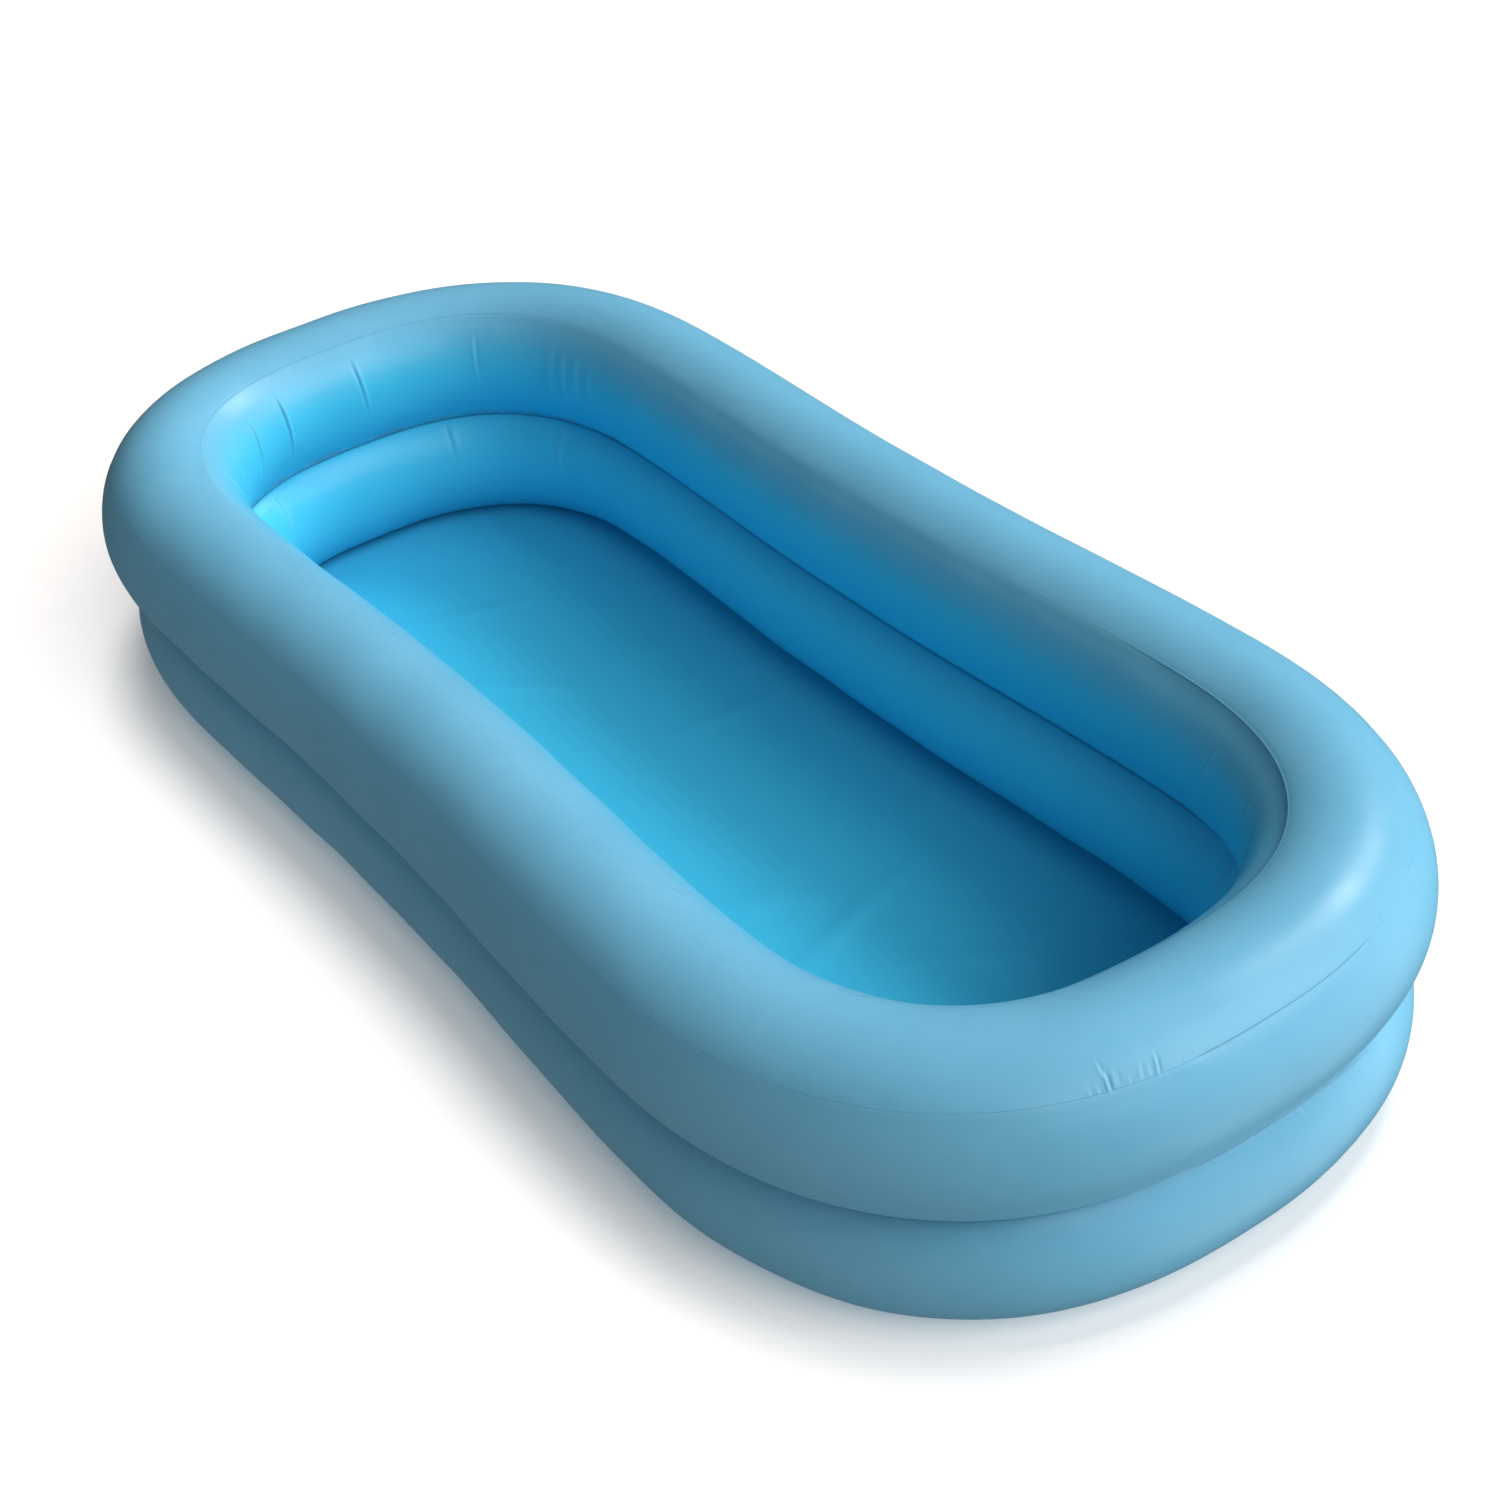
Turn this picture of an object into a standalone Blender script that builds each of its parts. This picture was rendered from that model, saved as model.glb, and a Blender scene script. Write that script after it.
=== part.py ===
"""Inflatable bathtub: two stacked air chambers of welded film round an oblong basin.

Metres, +Z up. The origin is on the ground below the middle of the tub. The foot end is at +X,
the head end at -X, and the two air valves are on the +Y side.
Panels of film meet in lap welds, and each panel is a sheet given its thickness.
"""
import math

import bmesh
import bpy
from mathutils import Matrix, Vector

# Plan: the line under the crown of the upper chamber
STRAIGHT_HALF_LENGTH = 0.488
END_DEPTH = 0.364
HALF_WIDTH = 0.330
END_SQUARENESS = 2.44
WAIST = 0.0125
END_FACETS = 12
PLAN_STEP = 1e-4

# Section of the chambers
UPPER_RADIUS = 0.0897
LOWER_RADIUS = 0.0878
CHAMBER_OVERLAP = 0.0399
GROUND_FLATTENING = 0.0026
LOWER_INSET = 0.0107
OUTER_TOP_SEAM_ANGLE = math.radians(44.0)
INNER_TOP_SEAM_ANGLE = math.radians(122.0)
ARC_STEP = math.radians(15.0)

# Film and its lap welds
FILM = 0.0005
FIT_GAP = 0.0003
LAP = 0.0080
LAYER = FILM + FIT_GAP
FOLD_CLEARANCE = 0.0016
FLOOR_LAP = 0.0100
FLOOR_STEP_LENGTH = 0.0060

# Air valve, heights measured outwards from the film's outer face
VALVE_FACETS = 20
FLANGE_RADIUS = 0.0300
FLANGE_HEIGHT = 0.0014
FLANGE_EDGE_HEIGHT = 0.0007
FLANGE_BEVEL = 0.0020
COLLAR_BORE_RADIUS = 0.0130
COLLAR_WALL = 0.0025
COLLAR_TOP = 0.0036
COLLAR_DEPTH = 0.0070
THREAD_CLEARANCE = 0.0004
SEAL_HEIGHT = 0.0010
INSERT_BORE_RADIUS = 0.0090
INSERT_DEPTH = 0.0062
INSERT_RIM_RADIUS = 0.0170
INSERT_RIM_HEIGHT = 0.0018
INSERT_NECK_RADIUS = 0.0112
INSERT_NECK_HEIGHT = 0.0036
GRILLE_HEIGHT = 0.0015
GRILLE_BAR_WIDTH = 0.0018
HUB_WALL = 0.0015
INSERT_GRIPS = 6
INSERT_GRIP_RADIUS = 0.0030
CAP_GRIPS = 10
CAP_GRIP_RADIUS = 0.0012
GRIP_FACETS = 8
GRIP_DEPTH_SHARE = 0.45
FLAP_OVERLAP = 0.0016
FLAP_HEIGHT = 0.0008
FLAP_STEM_RADIUS = 0.0013
FLAP_HEAD_RADIUS = 0.0023
FLAP_HEAD_HEIGHT = 0.0015
FLAP_TRAVEL = 0.0025
CAP_SEAL_HEIGHT = 0.0008
CAP_TOP_THICKNESS = 0.0013
CAP_WALL = 0.0014
CAP_LIP = 0.0014
CAP_LIP_HEIGHT = 0.0010
CAP_OVERHANG = 0.0026
CAP_LIFT = 0.0015
CAP_EDGE = 0.0008

# Flat lands in the film, one for each air valve
LAND_ROWS = 6
LAND_HALF_ANGLE = math.radians(30.0)
LAND_MARGIN = 0.0010
LAND_BLEND = 0.0190

# Tethers, which keep a cap or plug with its collar
TETHER_THICKNESS = 0.0010
TETHER_WIDTH = 0.0060
TETHER_RING_WIDTH = 0.0033
TETHER_LOOP = 0.0140
TETHER_BEND_SHARE = 0.25
TETHER_BEND_POINTS = 6

# Drain, heights measured up from the floor sheet's top face
DRAIN_PAST_STRAIGHT = 0.0720
DRAIN_FACETS = 20
DRAIN_FLANGE_RADIUS = 0.0260
DRAIN_FLANGE_HEIGHT = 0.0014
DRAIN_BORE_RADIUS = 0.0095
DRAIN_NECK_WALL = 0.0030
DRAIN_NECK_TOP = 0.0085
PLUG_TIP_TAPER = 0.0005
PLUG_TIP_HEIGHT = 0.0010
PLUG_GROOVE_STEP = 0.0009
PLUG_HEAD_OVERHANG = 0.0042
PLUG_HEAD_HEIGHT = 0.0022
PLUG_TAB_LENGTH = 0.0160
PLUG_TAB_WIDTH = 0.0030
PLUG_TAB_HEIGHT = 0.0060
CUT_OVERRUN = 0.0020

SHARP_ANGLE = math.radians(35.0)
WELD_DISTANCE = 1e-6

# Colour and roughness of each material
FINISHES = {
    "film_blue": ((0.150, 0.460, 0.640, 1.0), 0.30),
    "valve_white": ((0.780, 0.800, 0.800, 1.0), 0.35),
    "seal_grey": ((0.300, 0.320, 0.330, 1.0), 0.60),
    "silicone": ((0.620, 0.640, 0.630, 1.0), 0.45),
    "tether_clear": ((0.560, 0.680, 0.740, 1.0), 0.30),
}


def material(name, colour, roughness):
    """A plain Principled material."""
    made = bpy.data.materials.new(name)
    made.use_nodes = True
    shader = made.node_tree.nodes["Principled BSDF"]
    shader.inputs["Base Color"].default_value = colour
    shader.inputs["Roughness"].default_value = roughness
    shader.inputs["Metallic"].default_value = 0.0
    return made


def add_object(name, bm, made_of, parent=None):
    """Turn a bmesh into a named object with its material."""
    bmesh.ops.recalc_face_normals(bm, faces=bm.faces)
    mesh = bpy.data.meshes.new(name)
    bm.to_mesh(mesh)
    bm.free()
    mesh.materials.append(made_of)
    mesh.shade_smooth()
    mesh.set_sharp_from_angle(angle=SHARP_ANGLE)
    made = bpy.data.objects.new(name, mesh)
    bpy.context.scene.collection.objects.link(made)
    made.parent = parent
    return made


def guide(made):
    """Mark an object as a shape that only cuts or joins another."""
    made.hide_render = True
    made.display_type = "WIRE"
    return made


def combine(made, other, operation):
    """Join another object's shape to this one, or cut it out."""
    step = made.modifiers.new(other.name, "BOOLEAN")
    step.operation = operation
    step.solver = "EXACT"
    step.object = guide(other)


# The plan of the tub

LAND_RADIUS = FLANGE_RADIUS + LAND_MARGIN
LAND_HALF_LENGTH = LAND_RADIUS + LAND_BLEND


def side_inset(x):
    """How far a long side draws in, most along the valves' straight run at mid-length."""
    past_land = max(0.0, abs(x) - LAND_HALF_LENGTH)
    share = past_land / (STRAIGHT_HALF_LENGTH - LAND_HALF_LENGTH)
    return WAIST * math.cos(0.5 * math.pi * share) ** 2


def plan_point(turn):
    """The plan line at turn 0 to 4: foot end, +Y side, head end, -Y side."""
    leg = int(turn // 1) % 4
    share = turn % 1.0
    if leg in (1, 3):
        x = STRAIGHT_HALF_LENGTH * (1.0 - 2.0 * share)
        point = Vector((x, HALF_WIDTH - side_inset(x)))
    else:
        angle = math.pi * (share - 0.5)
        power = 2.0 / END_SQUARENESS
        across = math.copysign(abs(math.sin(angle)) ** power, angle)
        point = Vector((STRAIGHT_HALF_LENGTH + END_DEPTH * math.cos(angle) ** power, HALF_WIDTH * across))
    return point if leg < 2 else -point


def plan_frame(turn):
    """A point of the plan line and the outward direction there."""
    ahead = plan_point((turn + PLAN_STEP) % 4.0)
    behind = plan_point((turn - PLAN_STEP) % 4.0)
    along = (ahead - behind).normalized()
    return plan_point(turn), Vector((along.y, -along.x))


def plan_turns():
    """The stations round the tub: even steps at the ends, and one station at each end of a valve land."""
    quarter = 0.5 * (STRAIGHT_HALF_LENGTH + LAND_HALF_LENGTH)
    side_x = (STRAIGHT_HALF_LENGTH, quarter, LAND_HALF_LENGTH, -LAND_HALF_LENGTH, -quarter)
    end_turns = [step / END_FACETS for step in range(END_FACETS)]
    side_turns = [1.0 + 0.5 * (1.0 - x / STRAIGHT_HALF_LENGTH) for x in side_x]
    half = end_turns + side_turns
    return half + [2.0 + turn for turn in half]


# The section of the chambers, as points (out, up) from the plan line

LOWER_CENTRE_HEIGHT = LOWER_RADIUS - GROUND_FLATTENING
UPPER_CENTRE_HEIGHT = LOWER_CENTRE_HEIGHT + LOWER_RADIUS + UPPER_RADIUS - CHAMBER_OVERLAP
UPPER_CENTRE = Vector((0.0, UPPER_CENTRE_HEIGHT))
LOWER_CENTRE = Vector((-LOWER_INSET, LOWER_CENTRE_HEIGHT))


def on_circle(centre, radius, angle):
    """The point of a chamber's circle at an angle, measured up from outwards."""
    return centre + radius * Vector((math.cos(angle), math.sin(angle)))


def arc(centre, radius, *angles):
    """Points along a circle through the given angles, with even steps between them."""
    points = [on_circle(centre, radius, angles[0])]
    for start, end in zip(angles, angles[1:]):
        steps = max(1, math.ceil(abs(end - start) / ARC_STEP))
        points += [on_circle(centre, radius, start + (end - start) * (k + 1) / steps) for k in range(steps)]
    return points


def crease_angles(side):
    """The angles, on the upper and the lower circle, where the chambers meet on one side."""
    upper_radius = UPPER_RADIUS + LAYER
    between = LOWER_CENTRE - UPPER_CENTRE
    towards = math.atan2(between.y, between.x)
    gap = between.length
    upper = math.acos((gap ** 2 + upper_radius ** 2 - LOWER_RADIUS ** 2) / (2.0 * gap * upper_radius))
    lower = math.acos((gap ** 2 + LOWER_RADIUS ** 2 - upper_radius ** 2) / (2.0 * gap * LOWER_RADIUS))
    return towards + side * upper, towards + math.pi - side * lower


LAP_ANGLE = LAP / UPPER_RADIUS
CREASE_ANGLE = FOLD_CLEARANCE / UPPER_RADIUS
OUTER_CREASE, OUTER_CREASE_BELOW = crease_angles(1)
INNER_CREASE, INNER_CREASE_BELOW = crease_angles(-1)
INNER_CREASE_TURN = INNER_CREASE + 2.0 * math.pi
GROUND_ANGLE = math.asin((LOWER_CENTRE_HEIGHT - 0.5 * FILM) / LOWER_RADIUS)
FLANGE_LAYER_HEIGHT = 2.0 * LAYER + 0.5 * FILM
FLANGE_LAYER_ANGLE = math.asin((LOWER_CENTRE_HEIGHT - FLANGE_LAYER_HEIGHT) / LOWER_RADIUS)


def upper_outer_section():
    """From the outer crease, up past the outer top seam."""
    lap_top = OUTER_TOP_SEAM_ANGLE + LAP_ANGLE
    foot = OUTER_CREASE + CREASE_ANGLE
    lap_above = OUTER_CREASE + LAP_ANGLE
    lands = (-LAND_HALF_ANGLE, LAND_HALF_ANGLE)
    return arc(UPPER_CENTRE, UPPER_RADIUS, foot, lap_above, *lands, OUTER_TOP_SEAM_ANGLE, lap_top)


def top_section():
    """Over the crown, lapping outside both walls."""
    stops = (OUTER_TOP_SEAM_ANGLE, OUTER_TOP_SEAM_ANGLE + LAP_ANGLE)
    ends = (INNER_TOP_SEAM_ANGLE - LAP_ANGLE, INNER_TOP_SEAM_ANGLE)
    return arc(UPPER_CENTRE, UPPER_RADIUS + LAYER, *stops, *ends)


def upper_inner_section():
    """From the inner top seam down to the inner crease."""
    head = (INNER_TOP_SEAM_ANGLE - LAP_ANGLE, INNER_TOP_SEAM_ANGLE)
    foot = (INNER_CREASE_TURN - LAP_ANGLE, INNER_CREASE_TURN - CREASE_ANGLE)
    return arc(UPPER_CENTRE, UPPER_RADIUS, *head, *foot)


def divider_section():
    """Across between the creases, with a welded flange up each wall."""
    radius = UPPER_RADIUS - LAYER
    outer = arc(UPPER_CENTRE, radius, OUTER_CREASE + LAP_ANGLE, OUTER_CREASE + CREASE_ANGLE)
    inner = arc(UPPER_CENTRE, radius, INNER_CREASE_TURN - CREASE_ANGLE, INNER_CREASE_TURN - LAP_ANGLE)
    return outer + inner


def lower_outer_section():
    """A flange on the upper wall, the outer bulge, and the band that stands on the ground."""
    radius = UPPER_RADIUS + LAYER
    flange = arc(UPPER_CENTRE, radius, OUTER_CREASE + LAP_ANGLE, OUTER_CREASE)
    lands = (LAND_HALF_ANGLE, -LAND_HALF_ANGLE)
    wall = arc(LOWER_CENTRE, LOWER_RADIUS, OUTER_CREASE_BELOW, *lands, -GROUND_ANGLE)
    inner_edge = on_circle(LOWER_CENTRE, LOWER_RADIUS, math.pi + GROUND_ANGLE)
    return flange + wall[1:] + [inner_edge]


def lower_inner_section():
    """A flange on the upper wall, the basin's wall, and a flange over the floor's edge."""
    radius = UPPER_RADIUS + LAYER
    flange = arc(UPPER_CENTRE, radius, INNER_CREASE_TURN - LAP_ANGLE, INNER_CREASE_TURN)
    wall = arc(LOWER_CENTRE, LOWER_RADIUS, INNER_CREASE_BELOW, math.pi + FLANGE_LAYER_ANGLE)
    edge = wall[-1] + Vector((FLOOR_LAP, 0.0))
    return flange + wall[1:] + [edge]


def floor_section():
    """The floor's welded edge and the step down to the ground."""
    seam = on_circle(LOWER_CENTRE, LOWER_RADIUS, math.pi + GROUND_ANGLE)
    raised = LAYER + 0.5 * FILM
    edge = Vector((seam.x + FLOOR_LAP, raised))
    brink = Vector((seam.x - FOLD_CLEARANCE, raised))
    foot = Vector((seam.x - FLOOR_STEP_LENGTH, 0.5 * FILM))
    return [edge, brink, foot]


# Film panels

def sheet(section, filled=False):
    """Carry a section round the plan; filled closes the sheet across the basin."""
    bm = bmesh.new()
    rows = []
    for turn in plan_turns():
        base, out = plan_frame(turn)
        rows.append([bm.verts.new((*(base + out * point.x), point.y)) for point in section])
    for row, after in zip(rows, rows[1:] + rows[:1]):
        for k in range(len(section) - 1):
            bm.faces.new((row[k], row[k + 1], after[k + 1], after[k]))
    if filled:
        bm.faces.new([row[-1] for row in rows])
    return bm


def land_centre(centre, radius):
    """Where a valve's axis crosses the film: its land lies halfway between the bulge's top and a chord."""
    bulge = radius - math.sqrt(radius ** 2 - LAND_RADIUS ** 2)
    return Vector((0.0, HALF_WIDTH - WAIST + centre.x + radius - 0.5 * bulge, centre.y))


def ring_of_vertices(bm, centre, radius, count):
    """A ring of vertices round an axis along +Y."""
    steps = [2.0 * math.pi * k / count for k in range(count)]
    return [
        bm.verts.new(centre + radius * Vector((math.cos(angle), 0.0, math.sin(angle)))) for angle in steps
    ]


def bridge(bm, outer, inner):
    """Quads between two rings with as many vertices each."""
    for k, vertex in enumerate(outer):
        after = (k + 1) % len(outer)
        bm.faces.new((vertex, outer[after], inner[after], inner[k]))


def cut_land(bm, centre, chamber_radius):
    """Swap a window of the +Y wall for a flat round land with the valve's hole."""
    reach = LAND_HALF_LENGTH
    height = chamber_radius * math.sin(LAND_HALF_ANGLE)
    side = centre.y - chamber_radius

    def in_window(face):
        middle = face.calc_center_median()
        away = middle - centre
        return middle.y > side and abs(away.x) < reach and abs(away.z) < height

    window = [face for face in bm.faces if in_window(face)]
    corners = {vertex for face in window for vertex in face.verts}
    bmesh.ops.delete(bm, geom=window, context="FACES")
    rims = [edge for edge in bm.edges if edge.is_boundary and set(edge.verts) <= corners]
    level = [edge for edge in rims if abs(edge.verts[0].co.x - edge.verts[1].co.x) > reach]
    bmesh.ops.bisect_edges(bm, edges=level, cuts=LAND_ROWS - 1)

    def on_window(vertex):
        away = vertex.co - centre
        inside = abs(away.x) < reach + WELD_DISTANCE and abs(away.z) < height + WELD_DISTANCE
        return inside and vertex.co.y > side and vertex.is_boundary

    def bearing(vertex):
        away = vertex.co - centre
        half_step = math.pi / (4 * LAND_ROWS)
        return (math.atan2(away.z, away.x) + half_step) % (2.0 * math.pi)

    outline = sorted((vertex for vertex in bm.verts if on_window(vertex)), key=bearing)
    land = ring_of_vertices(bm, centre, LAND_RADIUS, len(outline))
    hole = ring_of_vertices(bm, centre, COLLAR_RADIUS + FIT_GAP, len(outline))
    bridge(bm, outline, land)
    bridge(bm, land, hole)


def film_panel(name, bm, made_of):
    """A sheet given the film's thickness, half to each side."""
    made = add_object(name, bm, made_of)
    thick = made.modifiers.new("film", "SOLIDIFY")
    thick.thickness = FILM
    thick.offset = 0.0
    thick.use_even_offset = True
    return made


# Turned pieces

def turned(name, profile, facets, made_of, parent):
    """Spin a profile of (radius, height) points; a profile that leaves the axis closes on itself."""
    bm = bmesh.new()
    points = [bm.verts.new((radius, 0.0, height)) for radius, height in profile]
    pairs = list(zip(points, points[1:]))
    if profile[0][0] > 0.0:
        pairs.append((points[-1], points[0]))
    edges = [bm.edges.new(pair) for pair in pairs]
    bmesh.ops.spin(
        bm, geom=points + edges, cent=(0.0, 0.0, 0.0), axis=(0.0, 0.0, 1.0),
        angle=2.0 * math.pi, steps=facets, use_merge=True,
    )
    bmesh.ops.remove_doubles(bm, verts=bm.verts, dist=WELD_DISTANCE)
    return add_object(name, bm, made_of, parent)


def block(name, size, middle, made_of, parent):
    """A rectangular block of a size, about a middle point."""
    bm = bmesh.new()
    bmesh.ops.create_cube(bm, size=1.0, matrix=Matrix.Translation(middle) @ Matrix.Diagonal((*size, 1.0)))
    return add_object(name, bm, made_of, parent)


def ring_profile(inner, outer, low, high):
    """The profile of a plain ring."""
    return [(inner, low), (outer, low), (outer, high), (inner, high)]


def strap(name, path, made_of, parent):
    """A flat strap along a path of (x, z) points, as wide as a tether."""
    bm = bmesh.new()
    half_thickness = 0.5 * TETHER_THICKNESS
    half_width = 0.5 * TETHER_WIDTH
    rows = []
    for k, point in enumerate(path):
        behind = path[max(k - 1, 0)]
        ahead = path[min(k + 1, len(path) - 1)]
        along = (ahead - behind).normalized()
        lift = Vector((-along.y, along.x)) * half_thickness
        low, high = point - lift, point + lift
        corners = ((low, -half_width), (low, half_width), (high, half_width), (high, -half_width))
        rows.append([bm.verts.new((spot.x, across, spot.y)) for spot, across in corners])
    for row, after in zip(rows, rows[1:]):
        bridge(bm, row, after)
    bm.faces.new(rows[0])
    bm.faces.new(rows[-1])
    return add_object(name, bm, made_of, parent)


def tether(name, rings, root, made_of, parent):
    """Two rings joined by a strap that loops out past root; rings holds (inner radius, low height)."""
    (low_inner, low), (high_inner, high) = rings
    made = turned(
        name, ring_profile(low_inner, low_inner + TETHER_RING_WIDTH, low, low + TETHER_THICKNESS),
        VALVE_FACETS, made_of, parent,
    )
    upper_ring = turned(
        name + "_upper_ring",
        ring_profile(high_inner, high_inner + TETHER_RING_WIDTH, high, high + TETHER_THICKNESS),
        VALVE_FACETS, made_of, parent,
    )
    half_thickness = 0.5 * TETHER_THICKNESS
    start = Vector((low_inner + 0.5 * TETHER_RING_WIDTH, low + half_thickness))
    end = Vector((high_inner + 0.5 * TETHER_RING_WIDTH, high + half_thickness))
    bend = TETHER_BEND_SHARE * (end.y - start.y)
    centre = Vector((root + TETHER_LOOP - bend, end.y - bend))
    steps = [0.5 * math.pi - math.pi * k / TETHER_BEND_POINTS for k in range(TETHER_BEND_POINTS + 1)]
    loop = [centre + bend * Vector((math.cos(angle), math.sin(angle))) for angle in steps]
    path = [end] + loop + [Vector((root, start.y)), start]
    path.reverse()
    loop_strap = strap(name + "_strap", path, made_of, parent)
    combine(made, loop_strap, "UNION")
    combine(made, upper_ring, "UNION")
    return made


def grips(name, rim_radius, low, top, count, grip_radius, made_of, parent):
    """Upright rods round a rim, which notch it for the fingers when cut out."""
    bm = bmesh.new()
    height = top - low + 2.0 * CUT_OVERRUN
    middle = 0.5 * (low + top)
    reach = rim_radius + (1.0 - 2.0 * GRIP_DEPTH_SHARE) * grip_radius
    for k in range(count):
        angle = 2.0 * math.pi * k / count
        spot = Matrix.Translation((reach * math.cos(angle), reach * math.sin(angle), middle))
        bmesh.ops.create_cone(
            bm, cap_ends=True, segments=GRIP_FACETS, radius1=grip_radius, radius2=grip_radius,
            depth=height, matrix=spot,
        )
    return add_object(name, bm, made_of, parent)


# Air valve, built upright on its own axis

COLLAR_RADIUS = COLLAR_BORE_RADIUS + COLLAR_WALL
INSERT_RADIUS = COLLAR_BORE_RADIUS - THREAD_CLEARANCE
HUB_HOLE_RADIUS = FLAP_STEM_RADIUS + THREAD_CLEARANCE
HUB_RADIUS = HUB_HOLE_RADIUS + HUB_WALL
FLAP_RADIUS = INSERT_BORE_RADIUS + FLAP_OVERLAP
CAP_INNER_RADIUS = INSERT_NECK_RADIUS + THREAD_CLEARANCE
CAP_GROOVE_RADIUS = CAP_INNER_RADIUS + CAP_WALL
CAP_RADIUS = CAP_GROOVE_RADIUS + CAP_OVERHANG
SEAL_LOW = COLLAR_TOP + FIT_GAP
RIM_LOW = SEAL_LOW + SEAL_HEIGHT + FIT_GAP
RIM_TOP = RIM_LOW + INSERT_RIM_HEIGHT
NECK_TOP = RIM_TOP + INSERT_NECK_HEIGHT
GRILLE_TOP = GRILLE_HEIGHT - INSERT_DEPTH
CAP_LOW = RIM_TOP + FIT_GAP
CAP_GROOVE_LOW = CAP_LOW + CAP_LIP_HEIGHT
CAP_GROOVE_TOP = CAP_GROOVE_LOW + TETHER_THICKNESS + CAP_LIFT + 2.0 * FIT_GAP
CAP_SEAL_LOW = NECK_TOP + FIT_GAP
CAP_CEILING = CAP_SEAL_LOW + CAP_SEAL_HEIGHT + FIT_GAP
CAP_TOP = CAP_CEILING + CAP_TOP_THICKNESS


def valve_base(name, made_of, parent):
    """The welded flange and the collar that the insert screws into."""
    profile = [
        (COLLAR_BORE_RADIUS, -COLLAR_DEPTH), (COLLAR_RADIUS, -COLLAR_DEPTH), (COLLAR_RADIUS, FIT_GAP),
        (FLANGE_RADIUS, FIT_GAP), (FLANGE_RADIUS, FIT_GAP + FLANGE_EDGE_HEIGHT),
        (FLANGE_RADIUS - FLANGE_BEVEL, FIT_GAP + FLANGE_HEIGHT), (COLLAR_RADIUS, FIT_GAP + FLANGE_HEIGHT),
        (COLLAR_RADIUS, COLLAR_TOP), (COLLAR_BORE_RADIUS, COLLAR_TOP),
    ]
    return turned(name, profile, VALVE_FACETS, made_of, parent)


def valve_insert(name, made_of, parent):
    """The screw-in body: skirt, gripped rim, neck for the cap, and the grille that carries the flap."""
    profile = [
        (INSERT_BORE_RADIUS, -INSERT_DEPTH), (INSERT_RADIUS, -INSERT_DEPTH), (INSERT_RADIUS, RIM_LOW),
        (INSERT_RIM_RADIUS, RIM_LOW), (INSERT_RIM_RADIUS, RIM_TOP), (INSERT_NECK_RADIUS, RIM_TOP),
        (INSERT_NECK_RADIUS, NECK_TOP), (INSERT_BORE_RADIUS, NECK_TOP),
    ]
    made = turned(name, profile, VALVE_FACETS, made_of, parent)
    bar_length = INSERT_BORE_RADIUS + INSERT_RADIUS
    bar_middle = Vector((0.0, 0.0, 0.5 * GRILLE_HEIGHT - INSERT_DEPTH))
    sizes = ((bar_length, GRILLE_BAR_WIDTH, GRILLE_HEIGHT), (GRILLE_BAR_WIDTH, bar_length, GRILLE_HEIGHT))
    for k, size in enumerate(sizes):
        combine(made, block(f"{name}_bar_{k}", size, bar_middle, made_of, parent), "UNION")
    hub = [(0.0, -INSERT_DEPTH), (HUB_RADIUS, -INSERT_DEPTH), (HUB_RADIUS, GRILLE_TOP), (0.0, GRILLE_TOP)]
    combine(made, turned(name + "_hub", hub, VALVE_FACETS, made_of, parent), "UNION")
    bore_low = -INSERT_DEPTH - CUT_OVERRUN
    bore_top = GRILLE_TOP + CUT_OVERRUN
    bore = [(0.0, bore_low), (HUB_HOLE_RADIUS, bore_low), (HUB_HOLE_RADIUS, bore_top), (0.0, bore_top)]
    combine(made, turned(name + "_bore", bore, VALVE_FACETS, made_of, parent), "DIFFERENCE")
    notches = (INSERT_RIM_RADIUS, RIM_LOW, RIM_TOP, INSERT_GRIPS, INSERT_GRIP_RADIUS)
    combine(made, grips(name + "_grips", *notches, made_of, parent), "DIFFERENCE")
    return made


def valve_flap(name, made_of, parent):
    """The mushroom flap: a disc under the grille, and a stem with a head above it."""
    disc_top = -INSERT_DEPTH - FIT_GAP
    disc_low = disc_top - FLAP_HEIGHT
    head_low = GRILLE_TOP + FLAP_TRAVEL + FIT_GAP
    head_top = head_low + FLAP_HEAD_HEIGHT
    profile = [
        (0.0, disc_low), (FLAP_RADIUS, disc_low), (FLAP_RADIUS, disc_top), (FLAP_STEM_RADIUS, disc_top),
        (FLAP_STEM_RADIUS, head_low), (FLAP_HEAD_RADIUS, head_low), (FLAP_STEM_RADIUS, head_top),
        (0.0, head_top),
    ]
    return turned(name, profile, VALVE_FACETS, made_of, parent)


def valve_cap(name, made_of, parent):
    """The screw cap, with a groove that its tether ring turns in."""
    profile = [
        (0.0, CAP_CEILING), (CAP_INNER_RADIUS, CAP_CEILING), (CAP_INNER_RADIUS, CAP_LOW),
        (CAP_GROOVE_RADIUS + CAP_LIP, CAP_LOW), (CAP_GROOVE_RADIUS + CAP_LIP, CAP_GROOVE_LOW),
        (CAP_GROOVE_RADIUS, CAP_GROOVE_LOW), (CAP_GROOVE_RADIUS, CAP_GROOVE_TOP),
        (CAP_RADIUS, CAP_GROOVE_TOP), (CAP_RADIUS, CAP_TOP - CAP_EDGE),
        (CAP_RADIUS - CAP_EDGE, CAP_TOP), (0.0, CAP_TOP),
    ]
    made = turned(name, profile, VALVE_FACETS, made_of, parent)
    notches = (CAP_RADIUS, CAP_GROOVE_TOP, CAP_TOP, CAP_GRIPS, CAP_GRIP_RADIUS)
    combine(made, grips(name + "_grips", *notches, made_of, parent), "DIFFERENCE")
    return made


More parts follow.
